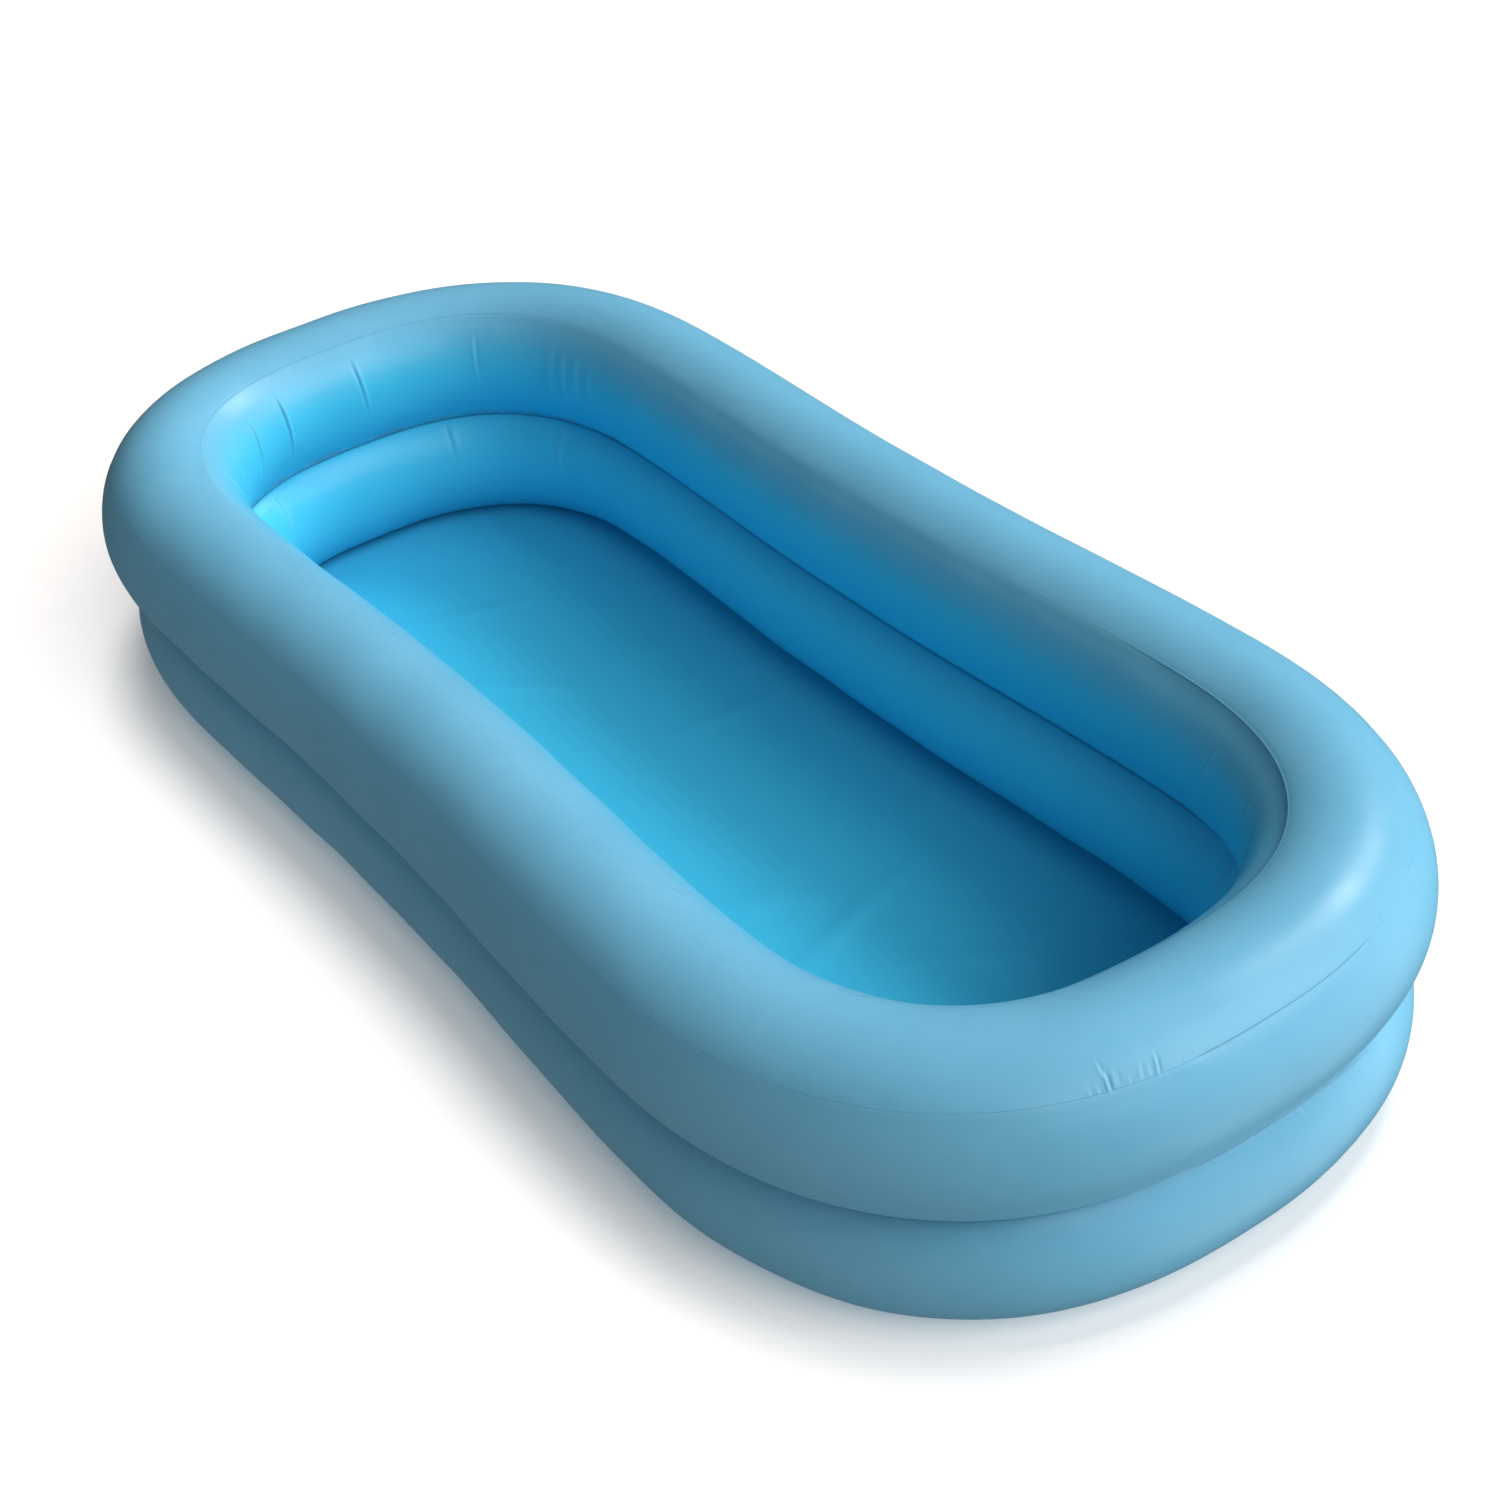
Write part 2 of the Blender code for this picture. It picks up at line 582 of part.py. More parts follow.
def air_valve(chamber, centre, materials):
    """All the pieces of one chamber's valve, on an empty that faces +Y."""
    seat = bpy.data.objects.new(chamber + "_valve_axis", None)
    seat.location = centre + Vector((0.0, 0.5 * FILM, 0.0))
    seat.rotation_euler = (-0.5 * math.pi, 0.0, 0.0)
    bpy.context.scene.collection.objects.link(seat)
    white, seal_grey = materials["valve_white"], materials["seal_grey"]
    valve_base(chamber + "_valve_base", white, seat)
    insert_seal = ring_profile(INSERT_RADIUS + FIT_GAP, COLLAR_RADIUS, SEAL_LOW, SEAL_LOW + SEAL_HEIGHT)
    turned(chamber + "_insert_seal", insert_seal, VALVE_FACETS, seal_grey, seat)
    valve_insert(chamber + "_valve_insert", white, seat)
    valve_flap(chamber + "_valve_flap", materials["silicone"], seat)
    cap_seal = ring_profile(
        INSERT_BORE_RADIUS, INSERT_NECK_RADIUS, CAP_SEAL_LOW, CAP_SEAL_LOW + CAP_SEAL_HEIGHT
    )
    turned(chamber + "_cap_seal", cap_seal, VALVE_FACETS, seal_grey, seat)
    valve_cap(chamber + "_valve_cap", white, seat)
    rings = (
        (COLLAR_RADIUS + FIT_GAP, FIT_GAP + FLANGE_HEIGHT + FIT_GAP),
        (CAP_GROOVE_RADIUS + FIT_GAP, CAP_GROOVE_TOP - FIT_GAP - TETHER_THICKNESS),
    )
    tether(chamber + "_valve_tether", rings, FLANGE_RADIUS, materials["tether_clear"], seat)


# Drain, built upright on its own axis

DRAIN_NECK_RADIUS = DRAIN_BORE_RADIUS + DRAIN_NECK_WALL
PLUG_RADIUS = DRAIN_BORE_RADIUS - THREAD_CLEARANCE
PLUG_GROOVE_RADIUS = PLUG_RADIUS + PLUG_GROOVE_STEP
PLUG_HEAD_RADIUS = PLUG_GROOVE_RADIUS + PLUG_HEAD_OVERHANG
PLUG_GROOVE_LOW = DRAIN_NECK_TOP + FIT_GAP
PLUG_GROOVE_TOP = PLUG_GROOVE_LOW + TETHER_THICKNESS + 2.0 * FIT_GAP
PLUG_HEAD_TOP = PLUG_GROOVE_TOP + PLUG_HEAD_HEIGHT


def drain(floor, materials):
    """The welded flange with its neck, the push-in plug and the tether between them."""
    white = materials["valve_white"]
    seat = bpy.data.objects.new("drain_axis", None)
    seat.location = (STRAIGHT_HALF_LENGTH + DRAIN_PAST_STRAIGHT, 0.0, FILM)
    bpy.context.scene.collection.objects.link(seat)
    base = [
        (DRAIN_BORE_RADIUS, FIT_GAP), (DRAIN_FLANGE_RADIUS, FIT_GAP),
        (DRAIN_FLANGE_RADIUS, FIT_GAP + FLANGE_EDGE_HEIGHT),
        (DRAIN_FLANGE_RADIUS - FLANGE_BEVEL, FIT_GAP + DRAIN_FLANGE_HEIGHT),
        (DRAIN_NECK_RADIUS, FIT_GAP + DRAIN_FLANGE_HEIGHT), (DRAIN_NECK_RADIUS, DRAIN_NECK_TOP),
        (DRAIN_BORE_RADIUS, DRAIN_NECK_TOP),
    ]
    turned("drain_base", base, DRAIN_FACETS, white, seat)
    plug = [
        (0.0, FIT_GAP), (PLUG_RADIUS - PLUG_TIP_TAPER, FIT_GAP), (PLUG_RADIUS, FIT_GAP + PLUG_TIP_HEIGHT),
        (PLUG_RADIUS, PLUG_GROOVE_LOW), (PLUG_GROOVE_RADIUS, PLUG_GROOVE_LOW),
        (PLUG_GROOVE_RADIUS, PLUG_GROOVE_TOP), (PLUG_HEAD_RADIUS, PLUG_GROOVE_TOP),
        (PLUG_HEAD_RADIUS, PLUG_HEAD_TOP), (0.0, PLUG_HEAD_TOP),
    ]
    made = turned("drain_plug", plug, DRAIN_FACETS, white, seat)
    tab_size = (PLUG_TAB_WIDTH, PLUG_TAB_LENGTH, PLUG_TAB_HEIGHT + PLUG_HEAD_HEIGHT)
    tab_middle = Vector((0.0, 0.0, PLUG_GROOVE_TOP + 0.5 * (PLUG_HEAD_HEIGHT + tab_size[2])))
    combine(made, block("drain_plug_tab", tab_size, tab_middle, white, seat), "UNION")
    rings = (
        (DRAIN_NECK_RADIUS + FIT_GAP, FIT_GAP + DRAIN_FLANGE_HEIGHT + FIT_GAP),
        (PLUG_GROOVE_RADIUS + FIT_GAP, PLUG_GROOVE_LOW + FIT_GAP),
    )
    root = DRAIN_NECK_RADIUS + 2.0 * TETHER_RING_WIDTH
    tether("drain_tether", rings, root, materials["tether_clear"], seat)
    low, top = -FILM - CUT_OVERRUN, CUT_OVERRUN
    hole = [(0.0, low), (DRAIN_BORE_RADIUS, low), (DRAIN_BORE_RADIUS, top), (0.0, top)]
    combine(floor, turned("drain_hole", hole, DRAIN_FACETS, white, seat), "DIFFERENCE")


def build():
    """Clear the scene and make the tub."""
    for old in list(bpy.data.objects):
        bpy.data.objects.remove(old, do_unlink=True)
    made = {name: material(name, colour, roughness) for name, (colour, roughness) in FINISHES.items()}
    film = made["film_blue"]

    upper_valve_centre = land_centre(UPPER_CENTRE, UPPER_RADIUS)
    lower_valve_centre = land_centre(LOWER_CENTRE, LOWER_RADIUS)
    upper_outer = sheet(upper_outer_section())
    cut_land(upper_outer, upper_valve_centre, UPPER_RADIUS)
    lower_outer = sheet(lower_outer_section())
    cut_land(lower_outer, lower_valve_centre, LOWER_RADIUS)

    film_panel("top_panel", sheet(top_section()), film)
    film_panel("upper_outer_wall", upper_outer, film)
    film_panel("upper_inner_wall", sheet(upper_inner_section()), film)
    film_panel("chamber_divider", sheet(divider_section()), film)
    film_panel("lower_outer_wall", lower_outer, film)
    film_panel("lower_inner_wall", sheet(lower_inner_section()), film)
    floor = film_panel("floor_sheet", sheet(floor_section(), filled=True), film)

    air_valve("upper", upper_valve_centre, made)
    air_valve("lower", lower_valve_centre, made)
    drain(floor, made)


build()
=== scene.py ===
"""Looks of the inflatable bathtub: fine film panels, valves, drain, materials, light and camera.

Metres, +Z up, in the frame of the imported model. The foot end is at +X, the valves are on the +Y side.
"""
import math

import bmesh
import bpy
import numpy as np
from mathutils import Matrix, Vector
from mathutils.geometry import delaunay_2d_cdt


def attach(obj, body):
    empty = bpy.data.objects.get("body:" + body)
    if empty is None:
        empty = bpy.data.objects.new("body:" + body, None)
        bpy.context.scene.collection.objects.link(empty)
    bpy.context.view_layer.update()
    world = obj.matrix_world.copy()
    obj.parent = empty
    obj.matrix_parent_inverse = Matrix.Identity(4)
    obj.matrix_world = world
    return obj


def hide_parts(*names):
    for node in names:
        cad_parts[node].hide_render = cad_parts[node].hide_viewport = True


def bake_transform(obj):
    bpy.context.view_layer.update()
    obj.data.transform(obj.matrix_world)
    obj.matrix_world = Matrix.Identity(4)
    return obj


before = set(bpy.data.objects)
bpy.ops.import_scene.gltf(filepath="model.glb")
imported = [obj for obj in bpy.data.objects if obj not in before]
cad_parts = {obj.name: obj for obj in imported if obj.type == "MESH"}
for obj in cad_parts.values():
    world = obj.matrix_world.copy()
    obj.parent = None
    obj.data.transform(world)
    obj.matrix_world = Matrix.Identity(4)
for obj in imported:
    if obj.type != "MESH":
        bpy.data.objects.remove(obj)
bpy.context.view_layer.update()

# Plan of the tub, as in the solids
STRAIGHT_HALF_LENGTH = 0.488
END_DEPTH = 0.364
HALF_WIDTH = 0.330
END_SQUARENESS = 2.44
WAIST = 0.0125
LAND_RADIUS = 0.0310
LAND_HALF_LENGTH = 0.0500
PLAN_SAMPLES = 40000
PLAN_REACH = 0.0010

# Section of the chambers
UPPER_RADIUS = 0.0897
LOWER_RADIUS = 0.0878
UPPER_CENTRE = np.array([0.0, 0.2228])
LOWER_CENTRE = np.array([-0.0107, 0.0852])
OUTER_TOP_SEAM = math.radians(44.0)
INNER_TOP_SEAM = math.radians(122.0)
FILM = 0.0005
LAYER = 0.0008
LAP = 0.0080
FLOOR_LAP = 0.0100
FOLD_CLEARANCE = 0.0016
FLOOR_STEP_LENGTH = 0.0060
FACE = 0.5 * FILM
UPPER_FACE = UPPER_RADIUS + FACE
LOWER_FACE = LOWER_RADIUS + FACE
FLANGE_FACE = UPPER_RADIUS + LAYER + FACE
MM = 0.001

# How finely the film is meshed
DENSE_STEP = 0.0002
CORNER_TURN = 0.15
END_FROM = 0.3800
END_FADE = 0.0800
END_STATION_STEP = 0.0021
INNER_STATION_STEP = 0.0026
LOWER_END_STATION_STEP = 0.0028
SIDE_STATION_STEP = 0.0060
LAND_STATION_STEP = 0.0030
EDGE_ROW_STEP = 0.0014
ROW_STEP = 0.0038
LOWER_ROW_STEP = 0.0050
EDGE_ROW_REACH = 0.0200
LAP_ROW_STEP = 0.0003
LAP_ROW_REACH = 0.0010
BEAD_ROW_STEP = 0.0012
LINER_SKIP = 4
LINER_SINK = 0.0030
LINER_SINK_REACH = 0.0120
WINDOW_HALF_LENGTH = 0.0500
WINDOW_HALF_HEIGHT = 0.0440
WINDOW_MARGIN = 0.0150
WINDOW_RINGS = 18
LINER_RINGS = 4
LAND_FADE = 0.0125
HOLE_RADIUS = 0.0158


# Small helpers

def smoothstep(x):
    """Ease from 0 to 1 as x goes from 0 to 1."""
    x = np.clip(x, 0.0, 1.0)
    return x * x * (3.0 - 2.0 * x)


def spread(start, end, step_at):
    """Points from start to end whose spacing follows step_at, a function of place."""
    fine = np.linspace(start, end, 8001)
    middles = 0.5 * (fine[1:] + fine[:-1])
    count = np.concatenate([[0.0], np.cumsum(np.diff(fine) / step_at(middles))])
    cells = max(2, int(math.ceil(count[-1])))
    return np.interp(np.linspace(0.0, count[-1], cells + 1), count, fine)


def mesh_of(name, bm):
    """A mesh with a bmesh's shape; the bmesh is freed."""
    mesh = bpy.data.meshes.new(name)
    bm.to_mesh(mesh)
    bm.free()
    return mesh


def linked(name, data):
    """A new object in the scene."""
    made = bpy.data.objects.new(name, data)
    bpy.context.scene.collection.objects.link(made)
    return made


def add_object(name, mesh, made_of, sharp_above=50.0):
    """Put a mesh in the scene, shaded smooth but for its sharp edges."""
    mesh.shade_smooth()
    mesh.set_sharp_from_angle(angle=math.radians(sharp_above))
    mesh.materials.append(made_of)
    return linked(name, mesh)


# Materials

def add_node(tree, kind, inputs=(), **settings):
    """Add a shader node, set or link its inputs, and return its outputs."""
    node = tree.nodes.new("ShaderNode" + kind)
    for key, value in settings.items():
        setattr(node, key, value)
    for key, value in dict(inputs).items():
        if isinstance(value, bpy.types.NodeSocket):
            tree.links.new(value, node.inputs[key])
        elif value is not None:
            node.inputs[key].default_value = value
    return node.outputs


def map_range(tree, value, low, high, to_low=0.0, to_high=1.0):
    names = ("Value", "From Min", "From Max", "To Min", "To Max")
    return add_node(tree, "MapRange", zip(names, (value, low, high, to_low, to_high)))["Result"]


class Nodes:
    """One material's nodes, with short calls for the kinds used here."""

    def __init__(self, name, **values):
        self.material = bpy.data.materials.new(name)
        self.material.use_nodes = True
        self.tree = self.material.node_tree
        self.inputs = self.tree.nodes["Principled BSDF"].inputs
        for key, value in values.items():
            self.inputs[key.replace("_", " ")].default_value = value
        self.place = add_node(self.tree, "TexCoord")["Object"]

    def noise(self, scale, detail=3.0, roughness=0.5, distortion=0.0):
        names = ("Vector", "Scale", "Detail", "Roughness", "Distortion")
        values = (self.place, scale, detail, roughness, distortion)
        return add_node(self.tree, "TexNoise", zip(names, values))["Fac"]

    def attribute(self, name):
        return add_node(self.tree, "Attribute", attribute_name=name)["Fac"]

    def between(self, *values):
        return map_range(self.tree, *values)

    def maths(self, operation, first, second):
        return add_node(self.tree, "Math", {0: first, 1: second}, operation=operation)["Value"]

    def blend(self, share, first, second):
        """Mix two colours: socket 0 is the share, 6 and 7 the colours, and output 2 the mix."""
        return add_node(self.tree, "Mix", {0: share, 6: first, 7: second}, data_type="RGBA")[2]

    def bump(self, height, distance, strength, after=None):
        names = ("Height", "Distance", "Strength", "Normal")
        return add_node(self.tree, "Bump", zip(names, (height, distance, strength, after)))["Normal"]

    def finish(self, colour, roughness=None, normal=None):
        for name, source in (("Base Color", colour), ("Roughness", roughness), ("Normal", normal)):
            if source is not None:
                self.tree.links.new(source, self.inputs[name])
        return self.material


FILM_LIGHT = (0.172, 0.476, 0.672, 1.0)
FILM_DEEP = (0.150, 0.446, 0.644, 1.0)
FILM_WELD = (0.100, 0.370, 0.560, 1.0)
FILM_BLUSH = (0.240, 0.560, 0.740, 1.0)
# Painted glow: the deeper blue that light shining through the film and bouncing round the basin gives the
# inner walls
FILM_PAINTED_GLOW = (0.060, 0.540, 0.785, 1.0)
# Dark lines: painted shade along the creases, a painted shadow under the upper bulge, and the top panel's
# darker seam edge with painted shade of its step
FILM_EDGE_AND_SHADE = (0.018, 0.150, 0.270, 1.0)
WELD_TINT = 0.05
WELD_POLISH = 0.05
STRESS_BLUSH = 160.0


def film_material():
    """Semi-gloss PVC film: clouding, a fine pressed grain, welds, pale stress marks, a painted glow of light
    through the film inside the basin, and dark lines: painted shade along the creases, a painted shadow under
    the upper bulge, and the top panel's seam edge, darker as a cut edge and with painted shade of its step.
    """
    make = Nodes("film_pvc", Specular_IOR_Level=0.22, IOR=1.52)
    cloud = make.between(make.noise(5.0, 4.0, 0.55), 0.3, 0.7)
    mottle = make.between(make.noise(46.0, 3.0, 0.6), 0.35, 0.7, 0.0, 0.35)
    weld = make.attribute("weld")
    colour = make.blend(make.maths("ADD", make.maths("MULTIPLY", cloud, 0.65), mottle), FILM_LIGHT, FILM_DEEP)
    # Tints in turn: painted glow inside the basin, welds, pale stress marks, then dark lines of painted shade
    # and the darker seam edge
    for share, tint in (
        (make.attribute("inside"), FILM_PAINTED_GLOW), (make.maths("MULTIPLY", weld, WELD_TINT), FILM_WELD),
        (make.maths("MULTIPLY", make.attribute("crease"), STRESS_BLUSH), FILM_BLUSH),
        (make.attribute("edge"), FILM_EDGE_AND_SHADE),
    ):
        colour = make.blend(share, colour, tint)
    roughness = make.between(make.noise(17.0, 5.0, 0.6), 0.3, 0.7, 0.30, 0.38)
    roughness = make.maths("SUBTRACT", roughness, make.maths("MULTIPLY", weld, WELD_POLISH))
    orange_peel = make.bump(make.noise(210.0, 2.0, 0.5), 0.00012, 0.55)
    grain = make.bump(make.noise(1150.0, 2.0, 0.6), 0.00004, 0.55, orange_peel)
    emboss = make.maths("MULTIPLY", make.noise(820.0, 1.0, 0.4), weld)
    return make.finish(colour, roughness, make.bump(emboss, 0.00003, 0.5, grain))


def moulded_material(name, light, deep, rough_low, rough_high, specular):
    """Moulded plastic or rubber: slight flow clouding and spark-eroded texture."""
    make = Nodes(name, Specular_IOR_Level=specular)
    flow = make.between(make.noise(90.0, 4.0, 0.6, 1.2), 0.35, 0.65)
    colour = make.blend(flow, (*light, 1.0), (*deep, 1.0))
    roughness = make.between(make.noise(600.0, 3.0, 0.6), 0.3, 0.7, rough_low, rough_high)
    texture = make.bump(make.noise(2600.0, 2.0, 0.6), 0.00003, 0.6)
    return make.finish(colour, roughness, make.bump(make.noise(260.0, 2.0, 0.5), 0.00006, 0.35, texture))


FILM_FINISH = film_material()
VALVE_FINISH = moulded_material("valve_pvc", (0.60, 0.63, 0.64), (0.53, 0.57, 0.58), 0.28, 0.40, 0.5)
SEAL_FINISH = moulded_material("seal_rubber", (0.055, 0.058, 0.060), (0.040, 0.042, 0.044), 0.55, 0.72, 0.4)
SILICONE_FINISH = moulded_material("flap_silicone", (0.62, 0.64, 0.63), (0.55, 0.58, 0.58), 0.32, 0.45, 0.45)
TETHER_FINISH = moulded_material("tether_pvc", (0.34, 0.52, 0.62), (0.28, 0.46, 0.57), 0.22, 0.32, 0.5)


# The plan line, sampled finely: point, outward direction and distance along

def plan_points(turn):
    """Points of the plan line at turns 0 to 4: foot end, +Y side, head end, -Y side.

    A long side draws in, most along the valves' straight run at mid-length.
    """
    leg = np.floor(turn).astype(int) % 4
    share = turn - np.floor(turn)
    side_x = STRAIGHT_HALF_LENGTH * (1.0 - 2.0 * share)
    past = np.clip((np.abs(side_x) - LAND_HALF_LENGTH) / (STRAIGHT_HALF_LENGTH - LAND_HALF_LENGTH), 0.0, 1.0)
    side = np.stack([side_x, HALF_WIDTH - WAIST * np.cos(0.5 * math.pi * past) ** 2], 1)
    angle = math.pi * (share - 0.5)
    power = 2.0 / END_SQUARENESS
    end_x = STRAIGHT_HALF_LENGTH + END_DEPTH * np.abs(np.cos(angle)) ** power
    end_y = HALF_WIDTH * np.sign(np.sin(angle)) * np.abs(np.sin(angle)) ** power
    points = np.where(((leg == 1) | (leg == 3))[:, None], side, np.stack([end_x, end_y], 1))
    return np.where((leg < 2)[:, None], points, -points)


TURNS = np.linspace(0.0, 4.0, PLAN_SAMPLES + 1)
PLAN = plan_points(TURNS)
ALONG = np.concatenate([[0.0], np.cumsum(np.linalg.norm(np.diff(PLAN, axis=0), axis=1))])
AROUND = ALONG[-1]


def plan_at(along):
    """Points and outward directions of the plan line at distances along it."""
    def at(place):
        place = np.mod(place, AROUND)
        return np.stack([np.interp(place, ALONG, PLAN[:, k]) for k in (0, 1)], 1)
    run = at(along + PLAN_REACH) - at(along - PLAN_REACH)
    run /= np.linalg.norm(run, axis=1)[:, None]
    return at(along), np.stack([run[:, 1], -run[:, 0]], 1)


def along_at(turn):
    """The distance along the plan line at a turn."""
    return float(np.interp(turn % 4.0, TURNS, ALONG))


VALVE_ALONG = along_at(1.5)
WINDOW_TURNS = 0.5 * WINDOW_HALF_LENGTH / STRAIGHT_HALF_LENGTH
WINDOW_ALONG = [along_at(1.5 - WINDOW_TURNS), along_at(1.5 + WINDOW_TURNS)]


def stations(end_step, zones=()):
    """Distances along the plan line, closer together round the ends, at the valves and in zones."""
    def step_at(along):
        x = np.interp(along, ALONG, PLAN[:, 0])
        y = np.interp(along, ALONG, PLAN[:, 1])
        rounded = smoothstep((np.abs(x) - END_FROM) / END_FADE)
        step = SIDE_STATION_STEP + (end_step - SIDE_STATION_STEP) * rounded
        at_valve = (np.abs(x) < WINDOW_HALF_LENGTH + WINDOW_MARGIN) & (y > 0.0)
        for first, last, zone_step in zones:
            inside = (along > along_at(first)) & (along < along_at(last))
            step = np.where(inside, np.minimum(step, zone_step), step)
        return np.where(at_valve, LAND_STATION_STEP, step)
    marks = [0.0, *WINDOW_ALONG, AROUND]
    pieces = [spread(start, end, step_at)[:-1] for start, end in zip(marks, marks[1:])]
    return np.concatenate(pieces)


# Sections, each an outer face drawn anticlockwise as dense points (out, up)

def circle(centre, radius, start, end):
    """Dense points along an arc, in radians."""
    steps = max(2, int(abs(end - start) * radius / DENSE_STEP))
    angle = np.linspace(start, end, steps + 1)
    return centre + radius * np.stack([np.cos(angle), np.sin(angle)], 1)


def crease_angles(side):
    """The angles, on the upper and the lower circle, where two chamber faces meet on one side."""
    between = LOWER_CENTRE - UPPER_CENTRE
    towards = math.atan2(between[1], between[0])
    gap = float(np.linalg.norm(between))
    upper, lower = (
        math.acos((gap ** 2 + one ** 2 - other ** 2) / (2.0 * gap * one))
        for one, other in ((FLANGE_FACE, LOWER_FACE), (LOWER_FACE, FLANGE_FACE))
    )
    return towards + side * upper, towards + math.pi - side * lower


def rounded_corners(points, reach):
    """Ease every sharp corner of a dense line, within reach of it."""
    runs = np.diff(points, axis=0)
    lengths = np.linalg.norm(runs, axis=1)
    place = np.concatenate([[0.0], np.cumsum(lengths)])
    heading = np.unwrap(np.arctan2(runs[:, 1], runs[:, 0]))
    corners = place[1:-1][np.abs(np.diff(heading)) > CORNER_TURN]
    out = points.copy()
    for corner in corners:
        start, end = corner - reach, corner + reach
        inside = (place > start) & (place < end)
        ends = [np.array([np.interp(at, place, points[:, k]) for k in (0, 1)]) for at in (start, corner, end)]
        t = ((place[inside] - start) / (end - start))[:, None]
        out[inside] = (1 - t) ** 2 * ends[0] + 2 * t * (1 - t) * ends[1] + t ** 2 * ends[2]
    return out


class Section:
    """One panel's outer face across the film: points, outward directions and distance across."""

    def __init__(self, points, row_step=ROW_STEP, fine_at=(), window_about=None, bead=None):
        self.dense = points
        runs = np.linalg.norm(np.diff(points, axis=0), axis=1)
        self.place = np.concatenate([[0.0], np.cumsum(runs)])
        self.length = self.place[-1]
        run = np.gradient(points, self.place, axis=0)
        run /= np.linalg.norm(run, axis=1)[:, None]
        self.normal = np.stack([run[:, 1], -run[:, 0]], 1)
        fine = [0.0, self.length, *fine_at]
        stops = [0.0, self.length]
        if window_about is not None:
            heights = window_about + WINDOW_HALF_HEIGHT * np.array([-1.0, 1.0])
            stops[1:1] = list(np.interp(heights, points[:, 1], self.place))

        def step_at(across):
            near = np.min([np.abs(across - spot) for spot in fine], axis=0)
            step = EDGE_ROW_STEP + (row_step - EDGE_ROW_STEP) * smoothstep(near / EDGE_ROW_REACH)
            if bead is not None:
                step = np.where((across > bead[0]) & (across < bead[1]), BEAD_ROW_STEP, step)
            lap = np.min([np.abs(across - spot) for spot in (*fine_at, -1.0)], axis=0)
            return np.where(lap < LAP_ROW_REACH, LAP_ROW_STEP, step)
        pieces = [spread(start, end, step_at) for start, end in zip(stops, stops[1:])]
        self.rows = np.concatenate([pieces[0], *(piece[1:] for piece in pieces[1:])])
        self.stops = [int(np.abs(self.rows - stop).argmin()) for stop in stops[1:-1]]

    def at(self, across):
        """Points and outward directions at distances across the panel."""
        point = np.stack([np.interp(across, self.place, self.dense[:, k]) for k in (0, 1)], -1)
        normal = np.stack([np.interp(across, self.place, self.normal[:, k]) for k in (0, 1)], -1)
        return point, normal / np.linalg.norm(normal, axis=-1, keepdims=True)


LAP_ANGLE = LAP / UPPER_RADIUS
OUTER_CREASE, OUTER_CREASE_BELOW = crease_angles(1)
INNER_CREASE, INNER_CREASE_BELOW = crease_angles(-1)
INNER_CREASE_TURN = INNER_CREASE + 2.0 * math.pi
FOLD_ANGLE = FOLD_CLEARANCE / UPPER_RADIUS
CREASE_EASE = 0.001
CREASE_PLACES = [
    UPPER_CENTRE + FLANGE_FACE * np.array([math.cos(angle), math.sin(angle)])
    for angle in (OUTER_CREASE, INNER_CREASE)
]
GROUND_ANGLE = math.asin(LOWER_CENTRE[1] / LOWER_FACE)
FLANGE_LAYER_ANGLE = math.asin((LOWER_CENTRE[1] - 2.0 * LAYER) / LOWER_FACE)


def top_section():
    width = (INNER_TOP_SEAM - OUTER_TOP_SEAM) * FLANGE_FACE
    return Section(circle(UPPER_CENTRE, FLANGE_FACE, OUTER_TOP_SEAM, INNER_TOP_SEAM), fine_at=[0.0, width])


def upper_outer_section():
    start, end = OUTER_CREASE + FOLD_ANGLE, OUTER_TOP_SEAM + LAP_ANGLE
    edge = (OUTER_TOP_SEAM - start) * UPPER_FACE
    return Section(circle(UPPER_CENTRE, UPPER_FACE, start, end), fine_at=[edge], window_about=UPPER_CENTRE[1])


def upper_inner_section():
    start, end = INNER_TOP_SEAM - LAP_ANGLE, INNER_CREASE_TURN - FOLD_ANGLE
    return Section(circle(UPPER_CENTRE, UPPER_FACE, start, end), fine_at=[LAP])


def lower_outer_section():
    """From the flat band on the ground, up the outer bulge, to the flange above the crease."""
    on_ground = LOWER_CENTRE + LOWER_FACE * np.array([-math.cos(GROUND_ANGLE), -math.sin(GROUND_ANGLE)])
    wall = circle(LOWER_CENTRE, LOWER_FACE, -GROUND_ANGLE, OUTER_CREASE_BELOW)
    flange = circle(UPPER_CENTRE, FLANGE_FACE, OUTER_CREASE, OUTER_CREASE + LAP_ANGLE)
    line = np.concatenate([np.linspace(on_ground, wall[0], 200), wall[1:], flange[1:]])
    line = rounded_corners(line, CREASE_EASE)
    crease = float(np.linalg.norm(np.diff(line, axis=0), axis=1).sum()) - LAP
    bead = (crease - BEAD_ROWS[1], crease - BEAD_ROWS[0])
    return Section(line, LOWER_ROW_STEP, [crease], LOWER_CENTRE[1], bead)


def lower_inner_section():
    """From the flange above the inner crease, down the basin's wall, to the flange over the floor's edge."""
    flange = circle(UPPER_CENTRE, FLANGE_FACE, INNER_CREASE_TURN - LAP_ANGLE, INNER_CREASE_TURN)
    wall = circle(LOWER_CENTRE, LOWER_FACE, INNER_CREASE_BELOW, math.pi + FLANGE_LAYER_ANGLE)
    edge = np.linspace(wall[-1], wall[-1] + [FLOOR_LAP, 0.0], 50)
    line = np.concatenate([flange, wall[1:], edge[1:]])
    return Section(rounded_corners(line, CREASE_EASE), LOWER_ROW_STEP, [LAP])


# Relief of the film: slow undulation, seams that draw in, puckers and folds

def wrapped(gap):
    """A distance along the plan line, taken the short way round."""
    return np.mod(gap + 0.5 * AROUND, AROUND) - 0.5 * AROUND


